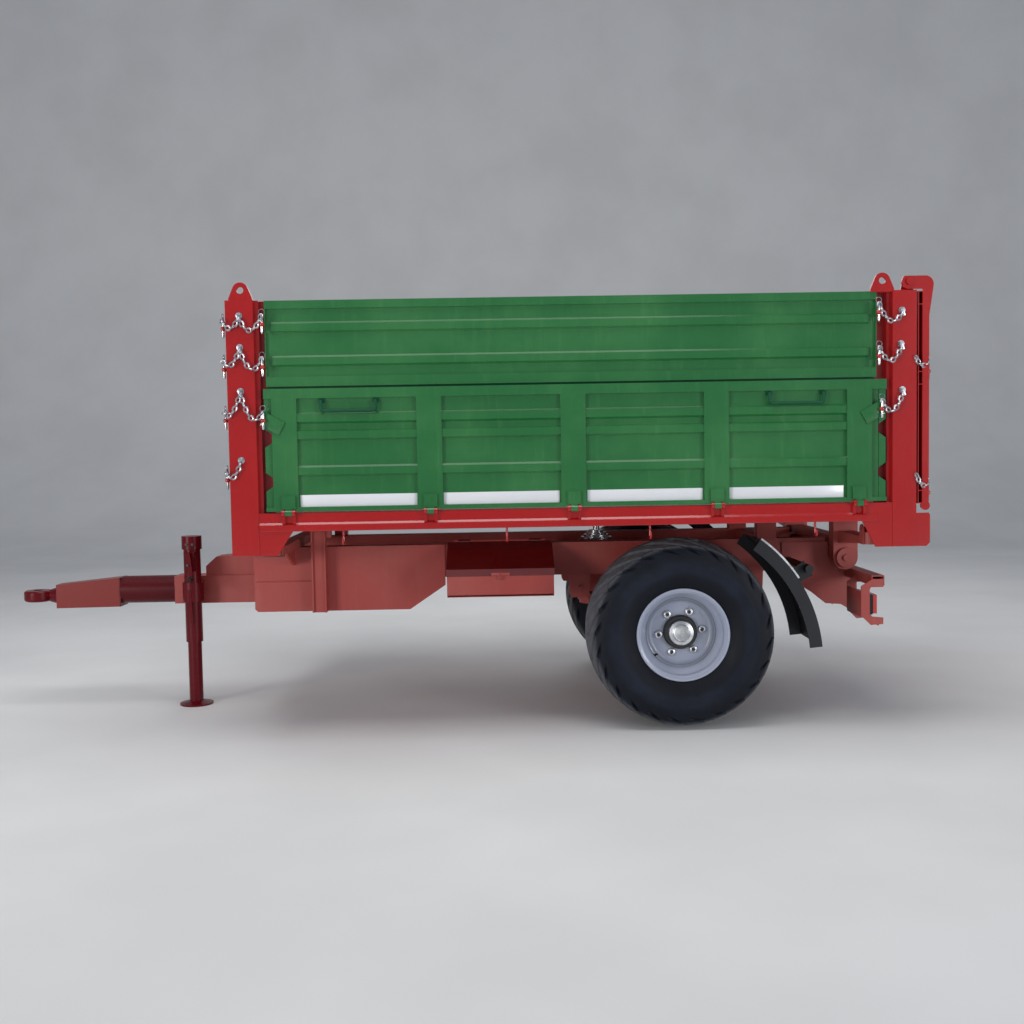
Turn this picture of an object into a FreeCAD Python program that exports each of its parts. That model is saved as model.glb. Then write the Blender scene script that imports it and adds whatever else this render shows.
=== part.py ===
import FreeCAD, Part
import math
import os

# Three-way tipping farm trailer, single axle, about five tonnes payload.
#
# Millimetres, +Z up.  Sizes below are given in the axle frame: X = 0 over the
# axle and growing to the rear, Y = 0 on the centre line (the left side is -Y),
# Z = 0 on the ground.  save() moves every piece by SHIFT_X, so that the origin
# ends up under the middle of the whole trailer.

V = FreeCAD.Vector

# ---------------------------------------------------------------- wheels
TYRE_DIA = 875.0
TYRE_WIDTH = 400.0
TRACK = 1500.0
RIM_SEAT_DIA = 394.0
RIM_FLANGE_DIA = 430.0
RIM_WIDTH = 330.0
RIM_WALL = 7.0
RIM_WELL_DEPTH = 26.0
DISC_OFFSET = 62.0
DISC_PLATE = 12.0
DISC_FLAT_DIA = 284.0
HUB_BORE_DIA = 160.0
HUB_FLANGE_DIA = 226.0
HUB_CAP_DIA = 110.0
DRUM_DIA = 300.0
DRUM_WIDTH = 70.0
DRUM_SETBACK = 60.0
HUB_FLANGE = 18.0
AXLE_BAR = 70.0
STUB_DIA = 60.0
AXLE_Z = TYRE_DIA / 2

# ---------------------------------------------------------------- chassis
FRAME_WIDTH = 800.0
FRAME_FRONT_X = -2060.0
RAIL_REAR_X = 800.0
RAIL_TOP_Z = 831.0
RAIL_DEPTH = 162.0
RAIL_WIDTH = 80.0
RAIL_WALL = 6.0
SIDE_PLATE = 8.0
SIDE_PLATE_BOTTOM_Z = 510.0
SIDE_PLATE_REAR_X = -1108.0
SIDE_PLATE_SLOPE = 178.0
SIDE_PLATE_RISE = 119.0
FRONT_NOTCH_X = -1905.0
FRONT_NOTCH = 46.0
CROSS_WIDTH = 60.0
CROSS_LONG = 80.0
CROSS_REAR_X = 500.0
STOP_FRONT_X = 461.0
STOP_REAR_X = 556.0

# ---------------------------------------------------------------- drawbar
BEAM_HEIGHT = 144.0
BEAM_WIDTH = 140.0
BEAM_WALL = 8.0
BEAM_BOTTOM_Z = 518.0
BEAM_REAR_X = -1366.0
SLEEVE_REAR_X = -2549.0
SLEEVE_FRONT_X = -2836.0
TAPER_FRONT_X = -3180.0
TAPER_TIP_HEIGHT = 124.0
TAPER_TIP_WIDTH = 90.0
TAPER_DROP = 27.0
EYE_X = -3290.0
EYE_Z = 565.0
EYE_BORE_DIA = 50.0
EYE_OUTER_DIA = 144.0
EYE_THICK = 58.0
SHANK_DIA = 55.0
SADDLE_LENGTH = 323.0
SADDLE_HEIGHT = 118.0
SADDLE_WIDTH = 120.0

# ---------------------------------------------------------------- jack
JACK_X = -2431.0
JACK_Y = -150.0
JACK_TUBE_DIA = 86.0
JACK_LEG_DIA = 70.0
JACK_CLEARANCE = 0.4
JACK_BOTTOM_Z = 330.0
JACK_TOP_Z = 812.0
JACK_CAP_DIA = 102.0
JACK_CAP = 68.0
JACK_TRAVEL = 270.0          # how far the leg slides up
JACK_HEADROOM = 10.0         # left above the leg when it is up
JACK_LID = 6.0               # steel under the cap
JACK_FOOT_DIA = 170.0
JACK_FOOT = 20.0

# ---------------------------------------------------------------- toolbox
BOX_FRONT_X = -1090.0
BOX_REAR_X = -577.0
BOX_OUTER_Y = 650.0
BOX_BOTTOM_Z = 595.0
BOX_LIP_Z = 726.0
BOX_BACK_Z = 846.0
BOX_SHEET = 4.0
LID_SHEET = 4.0
LID_HINGE_DIA = 12.0
LID_GAP = 1.0

# ---------------------------------------------------------------- tipping gear
PIVOT_INSET = 120.0          # pivots stand this far in from the box's sides
PIVOT_Z = 905.0
BALL_DIA = 60.0
BALL_CLEARANCE = 0.3
CUP_DIA = 80.0
CUP_RIM_DROP = 10.0
EAR_GAP = 35.0
EAR_THICK = 7.0
EAR_DIA = 52.0
LOCK_BORE = 14.0
CAP_DIA = 48.0
FRONT_PIVOT_X = -1862.0
BOLSTER_WIDTH = 70.0
BOLSTER_TOP_Z = 873.0
BOLSTER_END_GAP = 42.0       # bolster tube ends this far in from the pivot
COLUMN_DEPTH = 62.0
COLUMN_X = -1730.0
COLUMN_WIDTH = 70.0
COLUMN_TOP_Z = 944.0
COLUMN_FLANGE = 8.0
REAR_PIVOT_X = 870.0
CROSS_TUBE_Z = 740.0
CROSS_TUBE_DIA = 95.0
CROSS_TUBE_END_Y = 520.0
CROSS_TUBE_WALL = 12.0
TUBE_CAP = 6.0
CRADLE_INNER_Y = 425.0
CRADLE_THICK = 80.0
CRADLE_WALL = 12.5           # boss around the cross tube
CRADLE_BEAM_WIDTH = 76.0
CRADLE_BEAM_BOTTOM_Z = 812.0
CRADLE_TIE_HEIGHT = 44.0
TUBE_CLEARANCE = 0.4
RAM_X = -316.0
RAM_BASE_Z = 520.0
RAM_TOP_Z = 925.0
RAM_DIA = 190.0
RAM_WALL = 13.0
RAM_STEP = 14.0
RAM_CLEARANCE = 0.4
RAM_STAGES = 4
RAM_BARREL_TOP_Z = 815.0
RAM_LIP = 12.0
RAM_BALL_DIA = 50.0
RAM_TRUNNION_DIA = 44.0
RAM_FRONT_ROOM = 35.0        # beam to barrel in front of the ram
RAM_REAR_ROOM = 145.0        # behind it, where the tilting ram swings
SOCKET_BORE = 98.0
SOCKET_WALL = 16.0

# ---------------------------------------------------------------- body
BODY_HALF = 1000.0
FLOOR_TOP_Z = 1035.0
FLOOR_RAIL_BOTTOM_Z = 953.0
FLOOR_RAIL_FLANGE = 42.0
FLOOR_RAIL_WALL = 5.0
FLOOR_SHEET = 4.0
FLOOR_CROSS_COUNT = 9
FLOOR_CROSS_WIDTH = 50.0
SILL_Y = 350.0
POST_TOP_Z = 1980.0
POST_DEPTH = 65.0
POST_WALL = 4.0
FRONT_POST_X = -2030.0
FRONT_POST_LENGTH = 125.0
REAR_POST_X = 930.0
REAR_POST_LENGTH = 110.0
POST_FLANGE = 65.0
POST_FLANGE_THICK = 8.0
POST_GROOVE = 18.0
SKIRT_PLATE = 8.0
RAIL_LIP = 4.0
RAIL_LIP_HEIGHT = 28.0
FRONT_SKIRT_BOTTOM_Z = 845.0
REAR_SKIRT_BOTTOM_Z = 836.0
REAR_SKIRT_END_X = 1102.0
LUG_WIDTH = 105.0
LUG_THICK = 12.0
LUG_RISE = 78.0              # lug's top above the post
LUG_HOLE_DROP = 35.0         # hole below the lug's top
LUG_HOLE_DIA = 30.0
FRONT_LUG_X = -1961.0
REAR_LUG_X = 886.0

# ---------------------------------------------------------------- boards
BOARD_GAP = 8.0
BOARD_THICK = 50.0
BOARD_INSET = 50.0           # inner face, in from the box's side
BOARD_SKIN = 3.0
LOWER_FRONT_X = -1872.0
LOWER_REAR_X = 905.0
LOWER_TOP_Z = 1588.0
STILE_WIDTH = 112.0
STILE_X = (-1783.0, -1140.0, -498.5, 142.5, 784.0)
TOP_RAIL = 44.0
BOTTOM_RAIL = 18.0
PANEL_RECESS = 16.0
LOWER_RIB_Z = (1456.5, 1381.5, 1221.0)
RIB_HEIGHT = 50.0
RIB_DEPTH = 12.0
NOTCH_Z = (1369.0, 1174.0)
NOTCH_HEIGHT = 84.0
NOTCH_DEPTH = 34.0
UPPER_FRONT_X = -1861.0
UPPER_REAR_X = 865.0
UPPER_BOTTOM_Z = 1598.0
UPPER_RIB_Z = (1860.0, 1711.0)
UPPER_THICK = 40.0
HINGE_AXIS_OUT = 16.0        # hinge line, out from the box's side
HINGE_AXIS_Z = 1035.0
HINGE_PIN_DIA = 16.0
HINGE_CLEARANCE = 0.3
KNUCKLE_DIA = 28.0
KNUCKLE_LENGTH = 30.0
HINGE_WIDTH = 60.0
STRAP_TOP_Z = 1111.0
HINGE_X = (-1771.0, -1140.0, -498.5, 142.5, 780.0)
EAR_BOTTOM_Z = 987.0

# ---------------------------------------------------------------- tailgate
GATE_PIVOT_X = 1008.0
GATE_PIVOT_RISE = 39.0       # bolt above the post's top
GATE_FRONT_X = 1047.0
GATE_DEPTH = 50.0
GATE_BOTTOM_Z = 998.0
GATE_TOP_GAP = 5.0           # gate ends below the post's top
GATE_SKIN = 4.0
GATE_FRAME = 60.0
GATE_BOLT_DIA = 20.0
HOOK_RADIUS = 34.0
HOOK_PLATE = 12.0
HOOK_RISE = 63.0             # hook's top above the post
HOOK_REAR_X = 1116.0
HOOK_INSET = 3.0             # hook plates, in from the box's side
EAR_PLATE = 10.0
EAR_INSET = 35.0             # gate ears, in from the box's side

# ---------------------------------------------------------------- rear end
GUARD_PLATE = 8.0
LAMP_BAR_X = 898.0
LAMP_BAR_DEPTH = 60.0
LAMP_BAR_RISE = 4.0          # bar's top above the cross tube boss's lowest point
LAMP_BAR_HEIGHT = 84.0
LAMP_BAR_WALL = 5.0
GUARD_INNER_Y = 600.0
GUARD_OUTER_Y = 816.0
GUARD_FRONT_X = 848.0
GUARD_REAR_X = 952.0
GUARD_BOTTOM_Z = 452.0
GUARD_TOP_Z = 668.0
GUARD_BAR = 40.0
LAMP_DEPTH = 50.0
LAMP_Z0 = 500.0
LAMP_Z1 = 596.0
LAMP_ARM_BOTTOM_Z = 636.0

# ---------------------------------------------------------------- mudguards
FENDER_TOP = (350.0, 869.0)
FENDER_MID = (541.0, 655.0)
FENDER_END = (630.0, 375.0)
FENDER_SHEET = 4.0
FENDER_LIP = 58.0
FENDER_WIDTH = 370.0         # centred over the tyre
STAY_X = 612.0
STAY_Z = 718.0
STAY_DIA = 40.0

# ---------------------------------------------------------------- springs
SPRING_Y = 355.0
SPRING_WIDTH = 60.0
SPRING_LEAF = 9.0
SPRING_LEAVES = 5
SPRING_EYE_X = 435.0
SPRING_EYE_Z = 603.0
SPRING_EYE_DIA = 44.0
SPRING_PIN_DIA = 20.0
SPRING_PAD = 10.0

# ---------------------------------------------------------------- derived
FRAME_HALF = FRAME_WIDTH / 2
JACK_LEG_TOP_Z = JACK_TOP_Z - JACK_LID - JACK_HEADROOM - JACK_TRAVEL
PIVOT_Y = BODY_HALF - PIVOT_INSET
BOLSTER_END_Y = PIVOT_Y - BOLSTER_END_GAP
BOARD_INNER_Y = BODY_HALF - BOARD_INSET
HINGE_AXIS_Y = BODY_HALF + HINGE_AXIS_OUT
HOOK_OUTER_Y = BODY_HALF - HOOK_INSET
EAR_INNER_Y = BODY_HALF - EAR_INSET
FENDER_INNER_Y = TRACK / 2 - FENDER_WIDTH / 2
FENDER_OUTER_Y = TRACK / 2 + FENDER_WIDTH / 2
CRADLE_HALF = CROSS_TUBE_DIA / 2 + CRADLE_WALL
LAMP_BAR_BOTTOM_Z = CROSS_TUBE_Z - CRADLE_HALF + LAMP_BAR_RISE - LAMP_BAR_HEIGHT
RAM_CRADLE_GAP = RAM_DIA / 2 + RAM_FRONT_ROOM
RAM_CRADLE_REAR_GAP = RAM_DIA / 2 + RAM_REAR_ROOM
GATE_TOP_Z = POST_TOP_Z - GATE_TOP_GAP
GATE_PIVOT_Z = POST_TOP_Z + GATE_PIVOT_RISE
LUG_TOP_Z = POST_TOP_Z + LUG_RISE
LUG_HOLE_Z = LUG_TOP_Z - LUG_HOLE_DROP
HOOK_TOP_Z = POST_TOP_Z + HOOK_RISE
RAIL_OUTER_Y = FRAME_HALF - SIDE_PLATE
RAIL_INNER_Y = RAIL_OUTER_Y - RAIL_WIDTH
RAIL_BOTTOM_Z = RAIL_TOP_Z - RAIL_DEPTH
BEAM_TOP_Z = BEAM_BOTTOM_Z + BEAM_HEIGHT
POST_INNER_Y = BODY_HALF - POST_DEPTH
FRONT_POST_REAR_X = FRONT_POST_X + FRONT_POST_LENGTH
REAR_POST_END_X = REAR_POST_X + REAR_POST_LENGTH
FLOOR_SHEET_BOTTOM_Z = FLOOR_TOP_Z - FLOOR_SHEET
BOARD_BOTTOM_Z = FLOOR_TOP_Z + BOARD_GAP
BOARD_OUTER_Y = BOARD_INNER_Y + BOARD_THICK
EYE_TIP_X = EYE_X - EYE_OUTER_DIA / 2
SHIFT_X = -(EYE_TIP_X + HOOK_REAR_X) / 2


# ================================================================ helpers
def box(x0, x1, y0, y1, z0, z1):
    corner = V(min(x0, x1), min(y0, y1), min(z0, z1))
    return Part.makeBox(abs(x1 - x0), abs(y1 - y0), abs(z1 - z0), corner)


def cyl(start, direction, dia, length):
    return Part.makeCylinder(dia / 2, length, start, direction)


def along_y(x, z, y0, y1, dia):
    return cyl(V(x, min(y0, y1), z), V(0, 1, 0), dia, abs(y1 - y0))


def along_x(y, z, x0, x1, dia):
    return cyl(V(min(x0, x1), y, z), V(1, 0, 0), dia, abs(x1 - x0))


def along_z(x, y, z0, z1, dia):
    return cyl(V(x, y, min(z0, z1)), V(0, 0, 1), dia, abs(z1 - z0))


def prism(points, sweep):
    wire = Part.makePolygon(points + [points[0]])
    return Part.Face(wire).extrude(sweep)


def plate_xz(points, y0, y1):
    """A plate with an outline in the side view, from y0 to y1."""
    return prism([V(x, y0, z) for x, z in points], V(0, y1 - y0, 0))


def plate_yz(points, x0, x1):
    """A plate with an outline in the end view, from x0 to x1."""
    return prism([V(x0, y, z) for y, z in points], V(x1 - x0, 0, 0))


def plate_xy(points, z0, z1):
    """A plate with an outline in plan, from z0 to z1."""
    return prism([V(x, y, z0) for x, y in points], V(0, 0, z1 - z0))


def fuse(*shapes):
    first, rest = shapes[0], list(shapes[1:])
    if not rest:
        return first
    return first.fuse(rest).removeSplitter()


def mirror(shape):
    """The same piece on the other side of the centre line."""
    return shape.mirror(V(0, 0, 0), V(0, 1, 0))


def tube_x(x0, x1, y0, y1, z0, z1, wall):
    """A rectangular hollow section along X."""
    outer = box(x0, x1, y0, y1, z0, z1)
    return outer.cut(box(x0 - 1, x1 + 1, y0 + wall, y1 - wall, z0 + wall, z1 - wall))


def tube_y(x0, x1, y0, y1, z0, z1, wall):
    """A rectangular hollow section along Y."""
    outer = box(x0, x1, y0, y1, z0, z1)
    return outer.cut(box(x0 + wall, x1 - wall, y0 - 1, y1 + 1, z0 + wall, z1 - wall))


def tube_z(x0, x1, y0, y1, z0, z1, wall):
    """A rectangular hollow section along Z."""
    outer = box(x0, x1, y0, y1, z0, z1)
    return outer.cut(box(x0 + wall, x1 - wall, y0 + wall, y1 - wall, z0 - 1, z1 + 1))


def revolve_y(profile, x, z):
    """Turns a closed outline of (radius, y) pairs about the line x, z along Y."""
    points = [V(x + r, y, z) for r, y in profile]
    face = Part.Face(Part.makePolygon(points + [points[0]]))
    return face.revolve(V(x, 0, z), V(0, 1, 0), 360)


def circle_through(a, b, c):
    """Centre and radius of the circle through three (x, z) points."""
    (ax, az), (bx, bz), (cx, cz) = a, b, c
    d = 2 * (ax * (bz - cz) + bx * (cz - az) + cx * (az - bz))
    aa, bb, cc = ax * ax + az * az, bx * bx + bz * bz, cx * cx + cz * cz
    x = (aa * (bz - cz) + bb * (cz - az) + cc * (az - bz)) / d
    z = (aa * (cx - bx) + bb * (ax - cx) + cc * (bx - ax)) / d
    return x, z, math.hypot(ax - x, az - z)


def save(name, shape):
    placed = shape.copy()
    placed.translate(V(SHIFT_X, 0, 0))
    placed.exportStep(os.path.join("parts", name + ".step"))


def save_pair(name, left):
    save(name + "_left", left)
    save(name + "_right", mirror(left))


# ================================================================ wheels
def wheel_y(offset):
    """Y of a plane of the left wheel, measured outward from its middle."""
    return -TRACK / 2 - offset


def tyre():
    seat = RIM_SEAT_DIA / 2
    crown = TYRE_DIA / 2
    half = TYRE_WIDTH / 2
    bead = RIM_WIDTH / 2 - RIM_WALL
    belly = seat + (crown - seat) * 0.48
    shoulder = crown - 24.0

    def at(r, offset):
        return V(r, wheel_y(offset), AXLE_Z)

    flange = RIM_FLANGE_DIA / 2
    edges = [
        Part.LineSegment(at(seat, -bead), at(seat, bead)).toShape(),
        Part.LineSegment(at(seat, bead), at(flange, bead)).toShape(),
        Part.Arc(at(flange, bead), at(belly, half), at(shoulder, half - 22)).toShape(),
        Part.Arc(at(shoulder, half - 22), at(crown, 0), at(shoulder, 22 - half)).toShape(),
        Part.Arc(at(shoulder, 22 - half), at(belly, -half), at(flange, -bead)).toShape(),
        Part.LineSegment(at(flange, -bead), at(seat, -bead)).toShape(),
    ]
    face = Part.Face(Part.Wire(edges))
    return face.revolve(V(0, 0, AXLE_Z), V(0, 1, 0), 360)


def rim():
    seat = RIM_SEAT_DIA / 2
    flange = RIM_FLANGE_DIA / 2
    half = RIM_WIDTH / 2
    well = seat - RIM_WELL_DEPTH
    outer = [(flange, -half), (flange, RIM_WALL - half), (seat, RIM_WALL - half)]
    outer += [(seat, -half * 0.42), (well, -half * 0.2), (well, half * 0.5)]
    outer += [(seat, half * 0.68), (seat, half - RIM_WALL), (flange, half - RIM_WALL)]
    outer += [(flange, half - 2), (flange - 2.5, half), (flange - 8, half)]
    inner = [(seat, half - 3.5), (seat - RIM_WALL, half - 13), (seat - RIM_WALL, half * 0.68 + 4)]
    inner += [(well - RIM_WALL, half * 0.5 + 3), (well - RIM_WALL, -half * 0.2 - 3)]
    inner += [(seat - RIM_WALL, -half * 0.42 - 3), (seat - RIM_WALL, -half)]
    barrel = revolve_y([(r, wheel_y(o)) for r, o in outer + inner], 0, AXLE_Z)
    # the dished disc: a flat round the hub and a cup out to the well of the rim
    flat = DISC_FLAT_DIA / 2
    joint = well - RIM_WALL + 1
    near, far = DISC_OFFSET - DISC_PLATE, DISC_OFFSET
    cup_z = DISC_OFFSET + 20
    disc = [(HUB_BORE_DIA / 2, near), (HUB_BORE_DIA / 2, far), (flat - 6, far), (flat, far + 3)]
    disc += [(joint - 11, cup_z), (joint - 5, cup_z + 2), (joint, cup_z)]
    disc += [(joint, cup_z - 14), (joint - 6, cup_z - 14), (flat + 7, near + 2), (flat, near)]
    dish = revolve_y([(r, wheel_y(o)) for r, o in disc], 0, AXLE_Z)
    return fuse(barrel, dish)


def hub():
    face = DISC_OFFSET - DISC_PLATE
    boss = HUB_BORE_DIA / 2 - 1
    cap = HUB_CAP_DIA / 2
    back = face - DRUM_SETBACK - DRUM_WIDTH
    outline = [(STUB_DIA / 2 + 0.5, back), (DRUM_DIA / 2, back)]
    outline += [(DRUM_DIA / 2, face - DRUM_SETBACK), (boss + 16, face - DRUM_SETBACK + 4)]
    outline += [(boss + 16, face - HUB_FLANGE), (HUB_FLANGE_DIA / 2, face - HUB_FLANGE)]
    outline += [(HUB_FLANGE_DIA / 2, face), (boss, face)]
    outline += [(boss, face + 26), (boss - 5, face + 31), (cap + 4, face + 31)]
    outline += [(cap, face + 34), (cap, face + 52), (cap - 6, face + 58)]
    outline += [(36, face + 59), (34, face + 67), (0, face + 68)]
    outline += [(0, face + 30), (STUB_DIA / 2 + 0.5, face + 30)]
    return revolve_y([(r, wheel_y(o)) for r, o in outline], 0, AXLE_Z)


def axle_beam():
    """Square bar with a turned stub at each end, and a pad for each spring."""
    bar_end = -wheel_y(DISC_OFFSET - DISC_PLATE - DRUM_SETBACK - DRUM_WIDTH - 6.0)
    stub_end = -wheel_y(DISC_OFFSET - DISC_PLATE + 28.0)
    half = AXLE_BAR / 2
    shape = box(-half, half, -bar_end, bar_end, AXLE_Z - half, AXLE_Z + half)
    stub = along_y(0, AXLE_Z, -stub_end, stub_end, STUB_DIA)
    collar = along_y(0, AXLE_Z, -bar_end - 4, bar_end + 4, AXLE_BAR + 26)
    collar = collar.cut(box(-200, 200, -bar_end + 12, bar_end - 12, 0, 900))
    pad_half = SPRING_WIDTH / 2
    pads = []
    for y in (-SPRING_Y, SPRING_Y):
        top = AXLE_Z + half
        pads.append(box(-50, 50, y - pad_half, y + pad_half, top, top + SPRING_PAD))
    return fuse(shape, stub, collar, *pads)


# ================================================================ springs
def leaf_spring():
    """Leaves bent to arcs: the lowest sits on the axle pad, the top has eyes."""
    base = AXLE_Z + AXLE_BAR / 2 + SPRING_PAD
    y0 = -SPRING_Y - SPRING_WIDTH / 2
    top_mid = base + SPRING_LEAVES * SPRING_LEAF
    eye_low = SPRING_EYE_Z - SPRING_EYE_DIA / 2
    cx, cz, radius = circle_through(
        (-SPRING_EYE_X, eye_low + SPRING_LEAF), (0, top_mid), (SPRING_EYE_X, eye_low + SPRING_LEAF)
    )
    reach = math.asin(SPRING_EYE_X / radius)
    pieces = []
    for i in range(SPRING_LEAVES):
        inner = radius + SPRING_LEAF * i
        share = 1.0 - 0.17 * i
        a0 = -math.pi / 2 - reach * share
        a1 = -math.pi / 2 + reach * share
        pieces.append(ring_sector(cx, cz, inner, inner + SPRING_LEAF, a0, a1, y0, SPRING_WIDTH))
    for x in (-SPRING_EYE_X, SPRING_EYE_X):
        pieces.append(along_y(x, SPRING_EYE_Z, y0, y0 + SPRING_WIDTH, SPRING_EYE_DIA))
    # clamp plate and U-bolt legs round the axle bar
    pieces.append(box(-58, 58, y0 - 6, y0 + SPRING_WIDTH + 6, top_mid, top_mid + 12))
    shape = fuse(*pieces)
    for x in (-SPRING_EYE_X, SPRING_EYE_X):
        shape = shape.cut(along_y(x, SPRING_EYE_Z, y0 - 1, y0 + SPRING_WIDTH + 1, SPRING_PIN_DIA))
    return shape


def ring_sector(cx, cz, r0, r1, a0, a1, y, width):
    """A strip bent about a line along Y, between two radii and two angles."""
    def at(r, a):
        return V(cx + r * math.cos(a), y, cz + r * math.sin(a))

    mid = (a0 + a1) / 2
    wire = Part.Wire([
        Part.Arc(at(r0, a0), at(r0, mid), at(r0, a1)).toShape(),
        Part.LineSegment(at(r0, a1), at(r1, a1)).toShape(),
        Part.Arc(at(r1, a1), at(r1, mid), at(r1, a0)).toShape(),
        Part.LineSegment(at(r1, a0), at(r0, a0)).toShape(),
    ])
    return Part.Face(wire).extrude(V(0, width, 0))


def spring_hangers():
    """Two cheeks and a pin under the rail at each end of the spring."""
    pieces = []
    gap = SPRING_WIDTH / 2 + 1.0
    for x in (-SPRING_EYE_X, SPRING_EYE_X):
        top, low = RAIL_BOTTOM_Z, SPRING_EYE_Z - 50
        outline = [(x - 52, top), (x - 48, low + 10), (x - 40, low), (x + 40, low)]
        outline += [(x + 48, low + 10), (x + 52, top)]
        for y in (-SPRING_Y - gap - 8, -SPRING_Y + gap):
            pieces.append(plate_xz(outline, y, y + 8))
        pin_half = gap + 20
        pieces.append(along_y(x, SPRING_EYE_Z, -SPRING_Y - pin_half, -SPRING_Y + pin_half, 19.4))
    return pieces


# ================================================================ chassis
def chassis_rail():
    """Side rail with its outer plate, spring hangers and rear saddle plate."""
    y0, y1 = -RAIL_OUTER_Y, -RAIL_INNER_Y
    rail = tube_x(FRAME_FRONT_X, RAIL_REAR_X, y0, y1, RAIL_BOTTOM_Z, RAIL_TOP_Z, RAIL_WALL)
    notch_z = RAIL_TOP_Z - FRONT_NOTCH
    rail = rail.cut(box(FRAME_FRONT_X - 1, FRONT_NOTCH_X, y0 - 1, y1 + 1, notch_z, RAIL_TOP_Z + 1))
    rail = fuse(rail, box(FRAME_FRONT_X, FRONT_NOTCH_X, y0, y1, notch_z - RAIL_WALL, notch_z))
    low = SIDE_PLATE_BOTTOM_Z
    outline = [(FRAME_FRONT_X, low + 13), (FRAME_FRONT_X + 15, low)]
    outline += [(SIDE_PLATE_REAR_X - SIDE_PLATE_SLOPE, low)]
    outline += [(SIDE_PLATE_REAR_X, low + SIDE_PLATE_RISE), (SIDE_PLATE_REAR_X, RAIL_TOP_Z)]
    outline += [(FRONT_NOTCH_X, RAIL_TOP_Z), (FRONT_NOTCH_X, notch_z), (FRAME_FRONT_X, notch_z)]
    side = plate_xz(outline, -FRAME_HALF, -RAIL_OUTER_Y)
    stop = box(STOP_FRONT_X, STOP_REAR_X, y0 + 6, y1 - 6, RAIL_TOP_Z - 1, COLUMN_TOP_Z)
    return fuse(rail, side, front_column(), stop, rear_saddle(), *spring_hangers())


def front_column():
    """Flanged post on the side plate that the front of the floor rests over."""
    x0, x1 = COLUMN_X - COLUMN_WIDTH / 2, COLUMN_X + COLUMN_WIDTH / 2
    y0, y1 = -FRAME_HALF - COLUMN_DEPTH, -FRAME_HALF
    low, top = SIDE_PLATE_BOTTOM_Z, COLUMN_TOP_Z
    web = box(x0, x1, y0 + 10, y1, low, top)
    front = box(x0, x0 + COLUMN_FLANGE, y0, y1, low, top)
    rear = box(x1 - COLUMN_FLANGE, x1, y0, y1, low, top)
    block = box(x1 - 1, x1 + 27, y0 + 12, y1, top - 64, top)
    return fuse(web, front, rear, block)


def rear_saddle():
    """Plate behind the rail that carries the cross tube from below."""
    tube_r = CROSS_TUBE_DIA / 2
    bar_x1 = LAMP_BAR_X + LAMP_BAR_DEPTH
    bar_top = LAMP_BAR_BOTTOM_Z + LAMP_BAR_HEIGHT
    front = STAY_X - STAY_DIA / 2 - 12
    outline = [(front, RAIL_TOP_Z - 20), (front, RAIL_BOTTOM_Z), (707, 575), (800, 500)]
    outline += [(877, 494), (1066, 380), (1076, 390), (bar_x1 + 34, 470), (bar_x1, 505), (bar_x1, bar_top)]
    outline += [(LAMP_BAR_X, bar_top), (REAR_PIVOT_X + tube_r + 8, CROSS_TUBE_Z - 26)]
    outline += [(REAR_PIVOT_X + tube_r, CROSS_TUBE_Z), (RAIL_REAR_X + 12, CROSS_TUBE_Z)]
    outline += [(RAIL_REAR_X + 12, RAIL_TOP_Z - 20)]
    plate = plate_xz(outline, -FRAME_HALF, -RAIL_OUTER_Y)
    return plate.cut(along_y(REAR_PIVOT_X, CROSS_TUBE_Z, -500, 500, CROSS_TUBE_DIA))


def cross_tube():
    end = CROSS_TUBE_END_Y
    shape = along_y(REAR_PIVOT_X, CROSS_TUBE_Z, -end, end, CROSS_TUBE_DIA)
    bore = CROSS_TUBE_DIA - 2 * CROSS_TUBE_WALL
    shape = shape.cut(along_y(REAR_PIVOT_X, CROSS_TUBE_Z, TUBE_CAP - end, end - TUBE_CAP, bore))
    boss = along_y(REAR_PIVOT_X, CROSS_TUBE_Z, -end - 9, end + 9, 34)
    boss = boss.cut(along_y(REAR_PIVOT_X, CROSS_TUBE_Z, TUBE_CAP / 2 - end, end - TUBE_CAP / 2, 36))
    return fuse(shape, boss)


def cross_member(x0, x1, z0, z1, half):
    return tube_y(x0, x1, -half, half, z0, z1, RAIL_WALL)


def cross_member_front():
    x0 = FRAME_FRONT_X + 10
    return cross_member(x0, x0 + CROSS_LONG, RAIL_BOTTOM_Z, RAIL_TOP_Z - FRONT_NOTCH, RAIL_INNER_Y)


def cross_member_drawbar():
    x0 = BEAM_REAR_X
    return cross_member(x0, x0 + CROSS_LONG, BEAM_BOTTOM_Z, RAIL_BOTTOM_Z, RAIL_OUTER_Y)


def cross_member_rear():
    x0 = CROSS_REAR_X
    return cross_member(x0, x0 + CROSS_LONG, RAIL_BOTTOM_Z, RAIL_TOP_Z, RAIL_INNER_Y)


def drawbar_beam():
    half = BEAM_WIDTH / 2
    beam = tube_x(SLEEVE_REAR_X, BEAM_REAR_X, -half, half, BEAM_BOTTOM_Z, BEAM_TOP_Z, BEAM_WALL)
    # saddle box on top, tapering forward, that ties the beam to the front
    # cross member
    x1 = FRAME_FRONT_X
    x0 = x1 - SADDLE_LENGTH
    top = BEAM_TOP_Z + SADDLE_HEIGHT
    outline = [(x0, BEAM_TOP_Z), (x0, BEAM_TOP_Z + 50), (x0 + 55, top - 19)]
    outline += [(x1 - 33, top), (x1 + 10, top), (x1 + 10, BEAM_TOP_Z)]
    inside = [(x0 + 8, BEAM_TOP_Z - 1), (x0 + 8, BEAM_TOP_Z + 45), (x0 + 60, top - 27)]
    inside += [(x1 + 11, top - 8), (x1 + 11, BEAM_TOP_Z - 1)]
    w = SADDLE_WIDTH / 2
    saddle = plate_xz(outline, -w, w).cut(plate_xz(inside, 8 - w, w - 8))
    return fuse(beam, saddle)


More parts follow.
